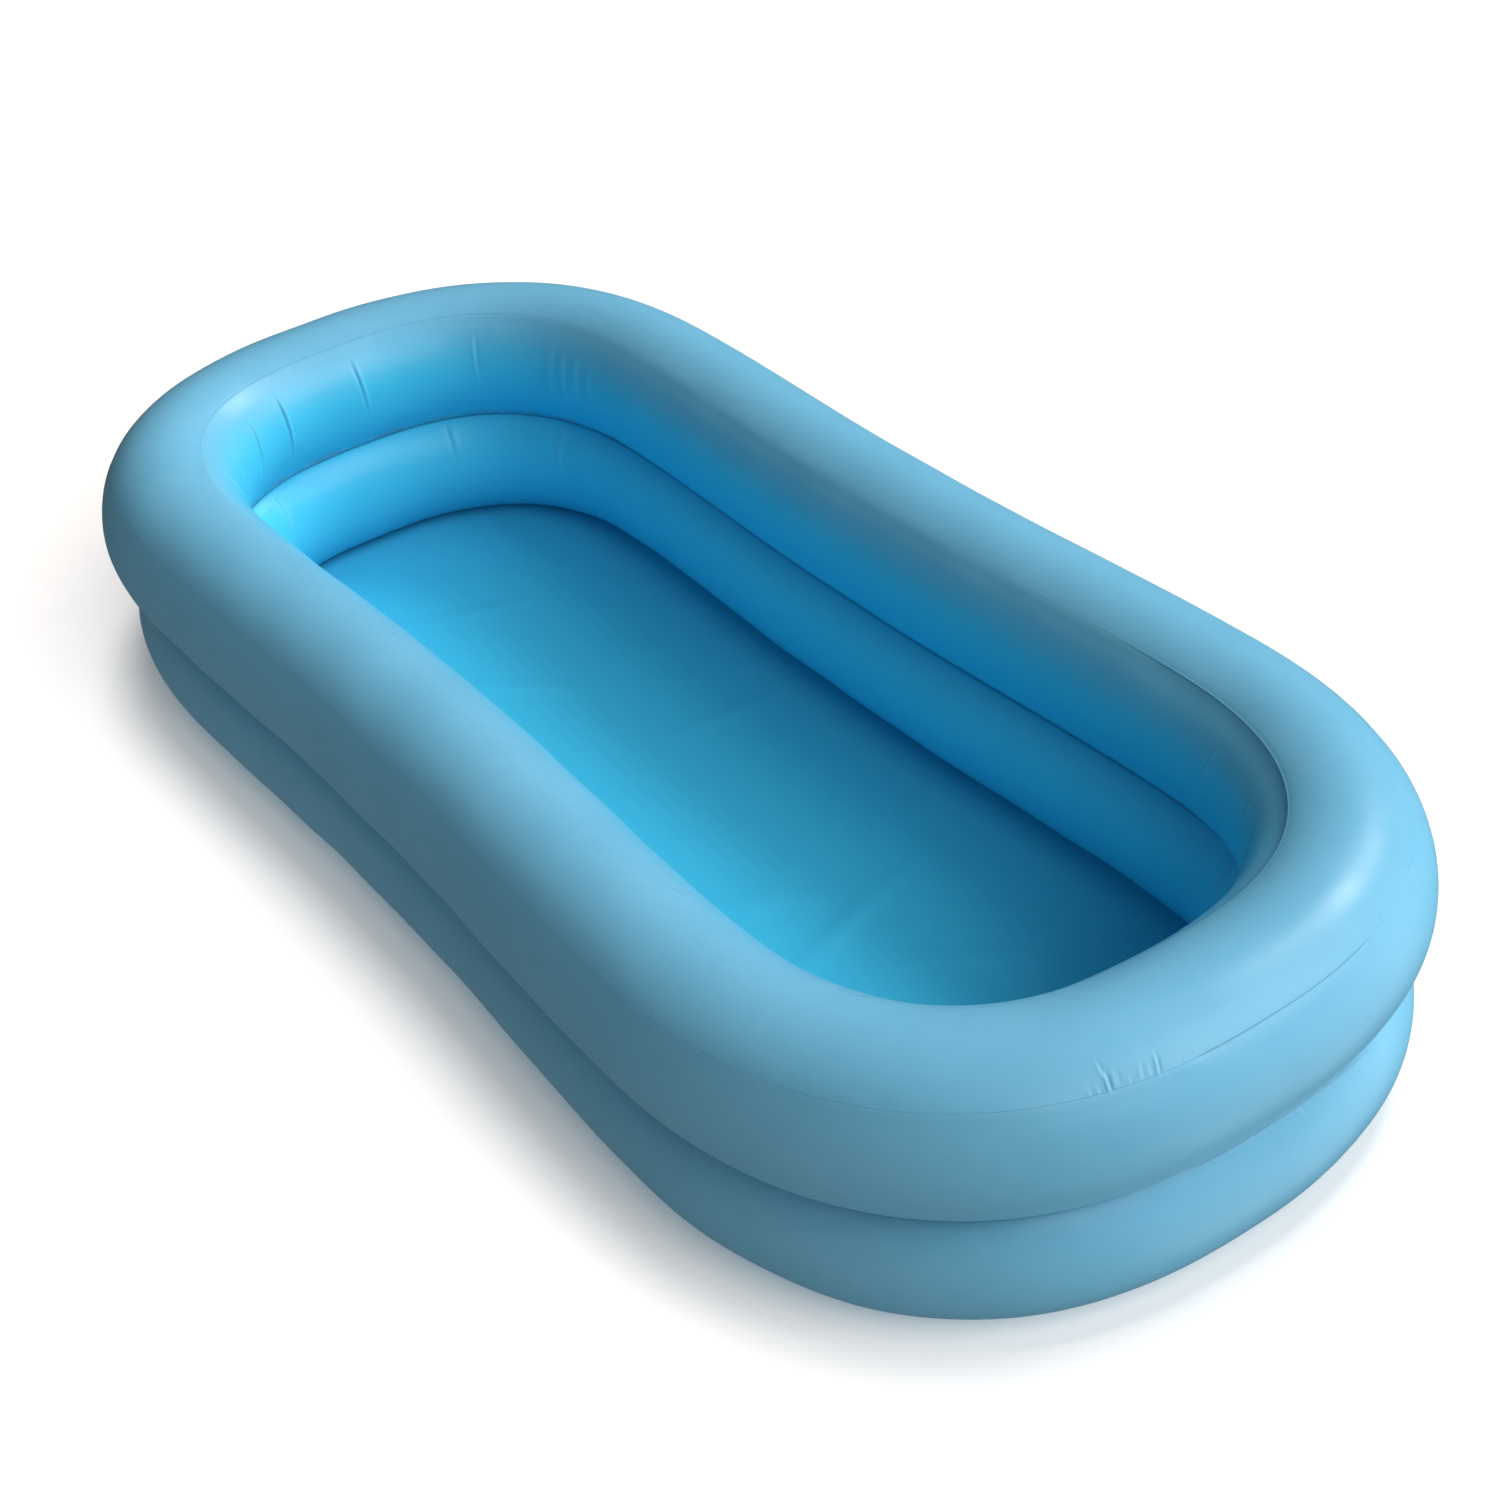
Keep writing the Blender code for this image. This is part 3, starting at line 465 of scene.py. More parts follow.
def undulation(along, angle, seed, size):
    """Slow waves over a bulge, the same each time round the plan."""
    draw = np.random.default_rng(seed)
    height = np.zeros(np.broadcast(along, angle).shape)
    for _ in range(WAVES):
        turns = int(draw.integers(4, 34))
        bend = draw.uniform(0.6, 2.6)
        phase, tilt = draw.uniform(0.0, 2.0 * math.pi, 2)
        height += np.sin(2.0 * math.pi * turns * along / AROUND + phase) * np.cos(bend * angle + tilt)
    return size * height / math.sqrt(WAVES)


def pucker_heights(along, away, puckers):
    """The height that puckers add; away is the distance from the seam they start at."""
    height = np.zeros_like(along)
    for spot, length, width, depth, lean in puckers:
        gap = wrapped(along - spot)
        reach = 5.0 * width + abs(lean) * length
        near = (away > -PUCKER_START) & (away < length) & (np.abs(gap) < reach)
        out = np.maximum(away[near], 0.0)
        across = (gap[near] - lean * out) / (width * (1.0 + 1.3 * out / length))
        fade = smoothstep((away[near] + PUCKER_START) / (2.0 * PUCKER_START))
        fade = fade * (1.0 - smoothstep(out / length))
        shoulders = 0.6 * np.exp(-(np.abs(across) - 1.8) ** 2)
        height[near] += depth * fade * (shoulders - np.exp(-across ** 2))
    return height


def fold_heights(along, angle, folds):
    """The height of crisp folds, each a valley from one place on a wall to another with a lit shoulder."""
    height = np.zeros_like(along)
    for first_turn, first_angle, last_turn, last_angle, depth, width, side in folds:
        share = (angle - math.radians(first_angle)) / math.radians(last_angle - first_angle)
        start, end = along_at(first_turn), along_at(last_turn)
        gap = wrapped(along - start - (end - start) * share) / (MM * width)
        near = (share > 0.0) & (share < 1.0) & (np.abs(gap) < 8.0)
        fade = smoothstep(share[near] / 0.3) * (1.0 - smoothstep((share[near] - 0.55) / 0.45))
        valley = np.exp(-np.abs(gap[near]) ** 1.3)
        shoulder = 0.75 * np.exp(-((gap[near] - 2.1 * side) / 1.2) ** 2)
        height[near] += MM * depth * fade * (shoulder - valley)
    return height


def drawn_puckers(seed, runs):
    """Seeded puckers; a run is first turn, last turn, count, and longest and deepest in millimetres."""
    draw = np.random.default_rng(seed)
    puckers = []
    for first, last, count, longest, deepest in runs:
        for _ in range(count):
            share = draw.uniform(0.15, 1.0)
            puckers.append((
                along_at(draw.uniform(first, last)), MM * longest * (0.35 + 0.65 * share),
                PUCKER_WIDTH + PUCKER_WIDENS * share,
                MM * deepest * draw.uniform(0.25, 1.0) * share, draw.uniform(-0.35, 0.35),
            ))
    return puckers


WAVES = 14
UPPER_WAVE = 0.00055
LOWER_WAVE = 0.0007
PUCKER_START = 0.0040
PUCKER_WIDTH = 0.0030
PUCKER_WIDENS = 0.0026
SEAM_GROOVE = 0.00025
INNER_SEAM_GROOVE = 0.0003
SEAM_GROOVE_REACH = 0.0030
LAP_SWELL = 0.00078
LAP_SWELL_START = 0.0006
LAP_SWELL_LEAD = 0.0002
LAP_SWELL_REACH = 0.0140
LIP_DROP = 0.0022
LIP_DROP_START = 0.0050
LIP_SINK = 0.68
LIP_DROP_REACH = 0.0450
LIP_BEAD = 0.00032
LIP_BEAD_WIDTH = 0.0006
BEAD = 0.0006
BEAD_RISE = 0.0012
BEAD_WIDTH = 0.0042
BEAD_BRINK = 0.0009
BEAD_TURNS = (0.36, 0.44, 0.50, 0.54, 0.58, 0.60, 0.62, 0.64)
BEAD_STARTS = (0.0025, 0.0038, 0.0055, 0.0074, 0.0108, 0.0134, 0.0169, 0.0218)
# Half width and strength of the painted shadow line under the upper bulge, at the bead's start
BEAD_SHADOW_LINE = 0.0007
BEAD_PAINTED_SHADOW = 0.6
WELD_BRINK = 0.0012
BEAD_ROWS = (0.0030, 0.0170)
CREASE_SLOT = 0.0012
CREASE_SLOT_WIDTH = 0.0011
# Half width and strength of the painted shade along the outer and inner creases
CREASE_SHADE_LINE = 0.0009
OUTER_CREASE_PAINTED_SHADE = 0.7
INNER_CREASE_PAINTED_SHADE = 0.5
# Half width of the top panel's darker seam edge: the cut edge's own darker tone, with painted shade of the
# step
TOP_EDGE_LINE = 0.0005
WAVE_MARGIN = 0.0040
PUCKER_MARGIN = 0.0010
STILL_EDGE = 0.0120
STILL_REACH = 0.0300
STILL_VALVE = 0.0340
# Puckers at the outer seam, above and below it, at the inner seam, under the crease and over the ground
FOOT_RUN, HEAD_RUN = (0.05, 0.95), (2.03, 2.97)
ABOVE_SEAM = drawn_puckers(11, [(*FOOT_RUN, 7, 16, 0.3), (*HEAD_RUN, 10, 18, 0.4)])
BELOW_SEAM = drawn_puckers(12, [(*FOOT_RUN, 8, 16, 0.3), (*HEAD_RUN, 12, 20, 0.4)])
BY_INNER_SEAM = drawn_puckers(13, [(*FOOT_RUN, 8, 24, 0.3), (*HEAD_RUN, 8, 24, 0.3)])
UNDER_CREASE = drawn_puckers(14, [
    (*FOOT_RUN, 24, 26, 0.8), (*HEAD_RUN, 34, 32, 1.1), (3.0, 4.0, 16, 18, 0.6), (1.0, 2.0, 16, 18, 0.6),
])
UNDER_CREASE += [
    (along_at(turn), MM * length, 0.0013, MM * depth, lean) for turn, length, depth, lean in (
        (0.468, 13, 0.4, 0.3), (0.474, 12, 0.3, -0.2), (0.499, 16, 0.6, 0.4), (0.504, 17, 0.7, 0.4),
        (0.509, 15, 0.5, 0.4), (0.524, 17, 0.6, 0.4), (0.531, 18, 0.7, 0.4), (0.538, 17, 0.5, 0.2),
    )
]
OVER_GROUND = drawn_puckers(15, [(0.02, 0.98, 32, 28, 1.0), (2.02, 2.98, 40, 32, 1.2)])

# Folds: first turn and angle, last turn and angle, depth and width in millimetres, the lit side.
# The cluster is the small fan of creases above the outer seam at the foot, in the photograph.
CLUSTER_FOLDS = [
    (0.3936, 41.5, 0.3934, 55.5, 0.9, 1.1, -1), (0.3926, 50, 0.3896, 61, 0.5, 1.1, -1),
    (0.3982, 44.5, 0.3992, 55, 0.3, 1.0, -1), (0.4002, 44.5, 0.4012, 54, 0.3, 1.0, -1),
    (0.4276, 42, 0.4312, 56, 0.8, 1.1, -1), (0.4162, 43, 0.4190, 54, 0.3, 1.4, -1),
    (0.4222, 43.5, 0.4245, 52, 0.2, 1.2, -1), (0.4080, 43, 0.4092, 49, 0.2, 1.2, -1),
    (0.3860, 42.5, 0.3862, 49, 0.2, 1.1, -1), (0.3800, 42.5, 0.3798, 49.5, 0.2, 1.2, -1),
    (0.3748, 42.5, 0.3750, 48, 0.2, 1.2, -1), (0.3690, 42.5, 0.3686, 49.5, 0.2, 1.3, -1),
    (0.3652, 42.5, 0.3654, 48, 0.2, 1.2, -1),
]
CLUSTER_ZONE = (0.376, 0.437)
CLUSTER_STEP = 0.0006
CLUSTER_WALL_STEP = 0.0014
FOLD_STEP = 0.0013
RIPPLE_STEP = 0.0015
RIPPLE_ZONE = (0.460, 0.545)
FOLD_MARGIN = 0.005
CRISP_FOLD = 2.8

# Folds on the inner walls, seen at the head end and the foot end
HEAD_FOLDS = [
    (2.676, 140, 2.707, 200, 1.8, 2.3, -1), (2.598, 136, 2.6075, 208, 2.0, 2.3, -1),
    (2.493, 134, 2.492, 196, 1.4, 2.3, -1), (2.120, 142, 2.120, 200, 0.7, 5.0, 1),
    (2.096, 140, 2.090, 200, 0.9, 4.8, 1), (2.069, 140, 2.062, 200, 0.9, 4.8, 1),
    (2.043, 142, 2.037, 192, 0.6, 4.6, 1), (2.880, 136, 2.900, 205, 1.4, 2.6, -1),
    (2.940, 138, 2.952, 195, 1.0, 2.8, 1), (2.290, 136, 2.285, 192, 0.9, 3.0, 1),
    (2.790, 138, 2.799, 195, 1.0, 2.6, 1),
]
FOOT_FOLDS = [
    (0.820, 138, 0.765, 176, 1.5, 2.3, -1), (0.520, 134, 0.527, 196, 1.2, 2.6, 1),
    (0.330, 134, 0.315, 198, 1.4, 2.6, -1), (0.200, 136, 0.187, 194, 1.0, 2.6, 1),
    (0.910, 138, 0.920, 192, 0.8, 2.8, -1), (0.650, 140, 0.643, 186, 0.7, 3.0, -1),
]
LOWER_FOLDS = [
    (2.64, 112, 2.66, 178, 1.6, 4.4, 1), (2.38, 112, 2.37, 172, 1.4, 4.4, -1),
    (2.13, 112, 2.12, 176, 1.6, 4.4, 1), (2.87, 112, 2.88, 176, 1.6, 4.4, -1),
    (0.35, 112, 0.335, 176, 1.6, 4.4, 1), (0.62, 112, 0.63, 176, 1.4, 4.4, -1),
    (0.86, 112, 0.875, 176, 1.4, 4.4, 1),
]
FOLD_ZONES = [
    (min(fold[0], fold[2]) - FOLD_MARGIN, max(fold[0], fold[2]) + FOLD_MARGIN, FOLD_STEP)
    for fold in HEAD_FOLDS + FOOT_FOLDS if fold[5] < CRISP_FOLD
]


def shows(along, turn, reach, fade):
    """1 where a line shows plainly, within reach of a turn, and 0 elsewhere."""
    return 1.0 - smoothstep((np.abs(wrapped(along - along_at(turn))) - reach) / fade)


def outer_seam_shows(along):
    return shows(along, 0.514, 0.082, 0.020)


def inner_seam_shows(along):
    return shows(along, 0.780, 0.200, 0.140)


def bead_shows(along):
    return shows(along, 0.520, 0.070, 0.050)


def bead_start(along):
    """How far below the outer crease the weld's bead begins."""
    return np.interp(np.interp(along, ALONG, TURNS), BEAD_TURNS, BEAD_STARTS)


def full_turn(points, centre):
    """Angles about a centre, from -90 to 270 degrees."""
    away = points - centre
    return np.mod(np.arctan2(away[..., 1], away[..., 0]) + 0.5 * math.pi, 2.0 * math.pi) - 0.5 * math.pi


def clear_of_valve(along, angle, radius):
    """0 on a valve's land and 1 away from it, over a bulge of a radius."""
    away = np.hypot(wrapped(along - VALVE_ALONG), angle * radius)
    on_valve_wall = (along > along_at(1.2)) & (along < along_at(1.8)) & (np.abs(angle) < 0.5 * math.pi)
    return np.where(on_valve_wall, smoothstep((away - STILL_VALVE) / STILL_REACH), 1.0)


def swell_by_lap(away):
    """How far a wall rises just past the edge of the lap over it; away is measured past that edge."""
    rise = smoothstep((away + LAP_SWELL_LEAD) / LAP_SWELL_START)
    rise = rise * (1.0 - smoothstep((away - LAP_SWELL_START) / LAP_SWELL_REACH))
    return LAP_SWELL * rise


def upper_wall_relief(along, point):
    """The upper chamber's relief, with the walls' swelling beside the top panel and the lip inside."""
    height, creased = upper_relief(along, point)
    angle = full_turn(point, UPPER_CENTRE)
    along = np.broadcast_to(along, angle.shape)
    height = height + (1.0 - outer_seam_shows(along)) * swell_by_lap((OUTER_TOP_SEAM - angle) * UPPER_RADIUS)
    away = (angle - INNER_TOP_SEAM) * UPPER_RADIUS
    lip = np.where(away > 0.0, 1.0 - np.exp(-np.maximum(away, 0.0) / LIP_DROP_START), 0.0)
    lip = lip * (1.0 - smoothstep((away - LIP_DROP_START) / LIP_DROP_REACH))
    plain = inner_seam_shows(along)
    return height + (1.0 - LIP_SINK * plain) * swell_by_lap(away) - LIP_DROP * plain * lip, creased


def upper_relief(along, point):
    """How far the upper chamber's film stands off its plain section; also how creased it is."""
    angle = full_turn(point, UPPER_CENTRE)
    along = np.broadcast_to(along, angle.shape)
    from_outer = (angle - OUTER_TOP_SEAM) * UPPER_RADIUS
    from_inner = (angle - INNER_TOP_SEAM) * UPPER_RADIUS
    from_crease = np.minimum(angle - OUTER_CREASE, INNER_CREASE_TURN - angle) * UPPER_RADIUS
    still = smoothstep(np.abs(from_outer) / STILL_REACH) * smoothstep(np.abs(from_inner) / STILL_REACH)
    still = still * smoothstep((from_crease - STILL_EDGE) / STILL_REACH)
    waves = still * undulation(along, angle, 21, UPPER_WAVE)
    grooves = -SEAM_GROOVE * outer_seam_shows(along) * np.exp(-(from_outer / SEAM_GROOVE_REACH) ** 2)
    grooves -= INNER_SEAM_GROOVE * inner_seam_shows(along) * np.exp(-(from_inner / SEAM_GROOVE_REACH) ** 2)
    bead = np.exp(-((from_inner + LIP_BEAD_WIDTH) / LIP_BEAD_WIDTH) ** 2)
    grooves += LIP_BEAD * inner_seam_shows(along) * bead
    creases = pucker_heights(along, from_outer, ABOVE_SEAM)
    creases += pucker_heights(along, -from_outer, BELOW_SEAM)
    creases += pucker_heights(along, np.abs(from_inner), BY_INNER_SEAM)
    creases += fold_heights(along, angle, HEAD_FOLDS + FOOT_FOLDS + CLUSTER_FOLDS)
    creases *= smoothstep((from_crease - STILL_EDGE) / STILL_REACH)
    valve = clear_of_valve(along, angle, UPPER_RADIUS)
    return valve * (waves + grooves + creases), np.abs(valve * creases)


def lower_relief(along, point):
    """How far the lower chamber's film stands off its plain section; also how creased it is."""
    angle = full_turn(point, LOWER_CENTRE)
    along = np.broadcast_to(along, angle.shape)
    on_wall = point[..., 1] < LOWER_CENTRE[1] + LOWER_RADIUS * math.sin(OUTER_CREASE_BELOW)
    from_crease = np.minimum(np.abs(OUTER_CREASE_BELOW - angle), np.abs(angle - INNER_CREASE_BELOW))
    from_crease = from_crease * LOWER_RADIUS
    from_ground = np.minimum(angle + GROUND_ANGLE, math.pi + FLANGE_LAYER_ANGLE - angle) * LOWER_RADIUS
    still = smoothstep((from_crease - WAVE_MARGIN) / STILL_REACH)
    still = still * smoothstep((from_ground - WAVE_MARGIN) / STILL_REACH)
    waves = still * undulation(along, angle, 22, LOWER_WAVE)
    fade = smoothstep((from_crease - PUCKER_MARGIN) / STILL_EDGE)
    fade = fade * smoothstep((from_ground - PUCKER_MARGIN) / STILL_EDGE)
    creases = pucker_heights(along, from_crease, UNDER_CREASE)
    creases += pucker_heights(along, from_ground, OVER_GROUND)
    creases += fold_heights(along, angle, LOWER_FOLDS)
    share = np.where(on_wall, clear_of_valve(along, angle, LOWER_RADIUS), 0.0)
    past = from_crease - bead_start(along)
    bead = smoothstep(past / BEAD_RISE) * smoothstep((BEAD_WIDTH - past) / BEAD_BRINK + 1.0)
    bead = BEAD * bead_shows(along) * bead * (on_wall & (point[..., 0] > LOWER_CENTRE[0]))
    slot = np.zeros(angle.shape)
    for place in CREASE_PLACES:
        slot += CREASE_SLOT * np.exp(-(np.linalg.norm(point - place, axis=-1) / CREASE_SLOT_WIDTH) ** 2)
    return share * (waves + fade * creases) + bead - slot, np.abs(share * fade * creases)


# Film panels: a fine outer face, a thinner-meshed inner face, and the rims between them

def thinned(count, stops):
    """Every LINER_SKIP-th place from 0 to count - 1, stops among them."""
    picks = [0]
    for start, end in zip([0, *stops], [*stops, count - 1]):
        steps = max(1, round((end - start) / LINER_SKIP))
        picks += [start + (end - start) * (k + 1) // steps for k in range(steps)]
    return np.array(picks)


def zipped(fine, coarse, picks):
    """Triangles between a closed fine loop and a coarse loop that has its picked places."""
    triangles = []
    count = len(fine)
    for k, start in enumerate(picks):
        after = (k + 1) % len(picks)
        end = picks[after] + (count if after == 0 else 0)
        middle = (start + end) // 2
        triangles += [(fine[j % count], fine[(j + 1) % count], coarse[k]) for j in range(start, middle)]
        triangles.append((coarse[k], fine[middle % count], coarse[after]))
        triangles += [(fine[j % count], fine[(j + 1) % count], coarse[after]) for j in range(middle, end)]
    return triangles


def loop_between(rows, columns):
    """Index pairs round a block of a grid, once round."""
    (top, bottom), (left, right) = (rows[0], rows[-1]), (columns[0], columns[-1])
    return (
        [(i, left) for i in rows[:-1]] + [(bottom, j) for j in columns[:-1]]
        + [(i, right) for i in rows[:0:-1]] + [(top, j) for j in columns[:0:-1]]
    )


class Faces:
    """Collects points with what the material reads, and faces; then makes the mesh with its map."""

    def __init__(self, width):
        self.width = width
        self.points, self.values, self.quads, self.triangles = [], [], [], []
        self.count = 0

    def add_points(self, points, along, across, weld, crease, deep, inside=0.0, edge=0.0):
        """Add points and return their numbers, in the shape given."""
        shape = points.shape[:-1]
        values = (along, across, weld, crease, deep, inside, edge)
        self.points.append(points.reshape(-1, 3))
        self.values.append(np.stack([np.broadcast_to(value, shape).ravel() for value in values], 1))
        numbers = self.count + np.arange(int(np.prod(shape))).reshape(shape)
        self.count += numbers.size
        return numbers

    def add_grid(self, numbers, keep=None, closed=True):
        """Quads over a grid of points, closed along its first side."""
        after = np.roll(numbers, -1, axis=0)
        if not closed:
            numbers, after = numbers[:-1], numbers[1:]
        quads = np.stack([numbers[:, :-1], numbers[:, 1:], after[:, 1:], after[:, :-1]], -1)
        self.quads.append(quads[keep] if keep is not None else quads.reshape(-1, 4))

    def face_map(self, faces, values):
        """Where each corner of each face lies on the map: strips of outer face, and a band for the rest."""
        along, across, deep = values[faces, 0], values[faces, 1], values[faces, 4]
        along = np.where(along < along.max(1, keepdims=True) - 0.5 * AROUND, along + AROUND, along)
        strips = max(1, round(math.sqrt(AROUND / self.width)))
        strip_length = AROUND / strips
        strip = np.minimum(along.min(1, keepdims=True) // strip_length, strips - 1)
        share = across / self.width
        outer_u = (along - strip * strip_length) / strip_length * 0.97 + 0.01
        outer_v = (strip + 0.03 + 0.92 * share) / strips * 0.93
        deeps = deep.min(1, keepdims=True)
        rest_u = along / AROUND * 0.97 + 0.01
        rest_v = np.where(deeps > 0.5, 0.94 + 0.03 * share, 0.975 + 0.01 * (share > 0.5) + 0.008 * deep)
        is_outer = deep.max(1, keepdims=True) < 0.5
        return np.stack([np.where(is_outer, outer_u, rest_u), np.where(is_outer, outer_v, rest_v)], -1)

    def mesh(self, name):
        """The closed mesh, faces outwards, with its map and its values."""
        points, values = np.concatenate(self.points), np.concatenate(self.values)
        quads = np.concatenate(self.quads)
        triangles = np.asarray(self.triangles, dtype=int).reshape(-1, 3)
        used = np.unique(np.concatenate([quads.ravel(), triangles.ravel()]))
        renumber = np.zeros(len(points), dtype=int)
        renumber[used] = np.arange(len(used))
        points, values = points[used], values[used]
        quads, triangles = renumber[quads], renumber[triangles]

        mesh = bpy.data.meshes.new(name)
        mesh.vertices.add(len(points))
        mesh.vertices.foreach_set("co", points.astype(np.float32).ravel())
        corners = np.concatenate([quads.ravel(), triangles.ravel()]).astype(np.int32)
        mesh.loops.add(len(corners))
        mesh.loops.foreach_set("vertex_index", corners)
        sizes = np.repeat([4, 3], [len(quads), len(triangles)])
        mesh.polygons.add(len(sizes))
        mesh.polygons.foreach_set("loop_start", (np.cumsum(sizes) - sizes).astype(np.int32))
        mesh.update(calc_edges=True)

        # inside carries the painted glow of light through the film; edge carries the painted shade lines and
        # the darker seam edge
        keys = {"along": 0, "across": 1, "weld": 2, "crease": 3, "inside": 5, "edge": 6}
        for key, column in keys.items():
            attribute = mesh.attributes.new(key, "FLOAT", "POINT")
            attribute.data.foreach_set("value", values[:, column].astype(np.float32))
        places = [self.face_map(faces, values).reshape(-1, 2) for faces in (quads, triangles) if len(faces)]
        layer = mesh.uv_layers.new(name="OFBake")
        layer.data.foreach_set("uv", np.concatenate(places).astype(np.float32).ravel())
        bm = bmesh.new()
        bm.from_mesh(mesh)
        bmesh.ops.recalc_face_normals(bm, faces=bm.faces)
        bm.to_mesh(mesh)
        bm.free()
        return mesh


class Window:
    """Where a valve's flat land and hole replace part of a wall."""

    def __init__(self, centre, radius):
        self.centre = centre
        self.radius = radius
        solid_radius = radius - FACE
        bulge = solid_radius - math.sqrt(solid_radius ** 2 - LAND_RADIUS ** 2)
        self.wall = HALF_WIDTH - WAIST + centre[0]
        self.land = self.wall + solid_radius - 0.5 * bulge + FACE

    def surface(self, x, height):
        """Points of the outer face: the land, easing into the wall round it."""
        bulged = self.wall + np.sqrt(self.radius ** 2 - height ** 2)
        share = smoothstep((np.hypot(x, height) - LAND_RADIUS) / LAND_FADE)
        return np.stack([x, self.land + (bulged - self.land) * share, self.centre[1] + height], -1)


def weld_share(across, bands):
    """1 inside a panel's welded bands and 0 outside them."""
    share = np.zeros_like(across)
    for start, end in bands:
        rise, fall = ((across - start) / WELD_BRINK + 1.0, (end - across) / WELD_BRINK + 1.0)
        share = np.maximum(share, smoothstep(rise) * smoothstep(fall))
    return share


def painted_glow_share(point):
    """0 outside and over the crown, rising to 1 inside the basin: the share of a painted glow, the deeper
    blue of light shining through the film and bouncing round the basin.
    """
    away = point - UPPER_CENTRE
    angle = np.degrees(np.mod(np.arctan2(away[:, 1], away[:, 0]), 2.0 * math.pi))
    on_inner_side = (point[:, 0] < 0.0) & ((angle > 90.0) & (angle < 270.0))
    return np.where(on_inner_side, smoothstep((angle - PAINTED_GLOW_FROM) / (PAINTED_GLOW_TO - PAINTED_GLOW_FROM)), 0.0)


PAINTED_GLOW_FROM = 118.0
PAINTED_GLOW_TO = 176.0


def lowest_near(height):
    """The lowest height near each place of a grid, so that a thinner mesh of it stays under the fine one."""
    reach = range(-LINER_SKIP, LINER_SKIP + 1)
    low = np.minimum.reduce([np.roll(height, step, 0) for step in reach])
    padded = np.pad(low, ((0, 0), (LINER_SKIP, LINER_SKIP)), "edge")
    rows = low.shape[1]
    return np.minimum.reduce([padded[:, LINER_SKIP + step:LINER_SKIP + step + rows] for step in reach])


def film_panel(name, section, steps, relief, weld_bands, lines=(), window=None):
    """Carry a section round the plan as a closed sheet of film.

    Dark lines are given by place, half width and strength: painted shade along creases, a painted shadow
    under the upper bulge, and the top panel's darker seam edge with painted shade of its step.
    """
    placed = stations(*steps)
    base, out = plan_at(placed)
    flat, normal = section.at(section.rows)
    height, creased = relief(placed[:, None], np.broadcast_to(flat, (len(placed), *flat.shape)))
    weld = weld_share(section.rows, weld_bands)
    faces = Faces(section.length)

    def carried(points, normals, base, out):
        """Points (out, up) and lifts along normals, carried to stations."""
        spots = base[:, None] + out[:, None] * points[..., :1]
        ups = (np.broadcast_to(column[:, 1:], (*spots.shape[:2], 1)) for column in (points, normals))
        return [np.concatenate(pair, -1) for pair in zip((spots, out[:, None] * normals[:, :1]), ups)]

    # edge: dark lines of painted shade, and the top panel's darker seam edge
    edge = np.zeros(height.shape)
    for place, half_width, strength in lines:
        place = place(placed)[:, None] if callable(place) else place
        near = np.exp(-((section.rows - place) / half_width) ** 2)
        edge = np.maximum(edge, near * strength(placed)[:, None])
    plain, ways = carried(flat, normal, base, out)
    outer = plain + ways * height[..., None]
    # inside: the share of the painted glow of light through the film
    inside = painted_glow_share(flat)
    numbers = faces.add_points(outer, placed[:, None], section.rows, weld, creased, 0.0, inside, edge)

    window_stations = [int(np.abs(placed - spot).argmin()) for spot in WINDOW_ALONG] if window else []
    window_rows = section.stops if window else []
    some_stations = thinned(len(placed) + 1, window_stations)[:-1]
    some_rows = thinned(len(section.rows), window_rows)
    from_edge = np.minimum(section.rows, section.length - section.rows)[some_rows]
    depth = FILM + LINER_SINK * smoothstep((from_edge - LAP) / LINER_SINK_REACH)
    depth = np.broadcast_to(depth, (len(some_stations), len(some_rows))).copy()
    if window:
        spots = placed[some_stations][:, None]
        side = np.abs(wrapped(spots - VALVE_ALONG)) < 2.0 * WINDOW_HALF_LENGTH
        depth = np.where(side, FILM, depth)
    block = np.ix_(some_stations, some_rows)
    inner = plain[block] + ways[block] * (lowest_near(height)[block] - depth)[..., None]
    inner_numbers = faces.add_points(
        inner, placed[some_stations][:, None], section.rows[some_rows], weld[some_rows], 0.0, 1.0,
        inside[some_rows], edge[block])

    keep = inner_keep = None
    if window:
        keep = np.ones((len(placed), len(section.rows) - 1), dtype=bool)
        keep[window_stations[0]:window_stations[1], window_rows[0]:window_rows[1]] = False
        inner_keep = keep[block[0], np.minimum(block[1], keep.shape[1] - 1)][:, :-1]
    faces.add_grid(numbers, keep)
    faces.add_grid(inner_numbers, inner_keep)
    for row in (0, -1):
        faces.triangles += zipped(numbers[:, row], inner_numbers[:, row], some_stations)

    if window:
        fill_window(faces, section, window, relief, numbers, inner_numbers, outer, inner,
                    (window_stations, window_rows), (some_stations, some_rows))
    return add_object(name, faces.mesh(name), FILM_FINISH)


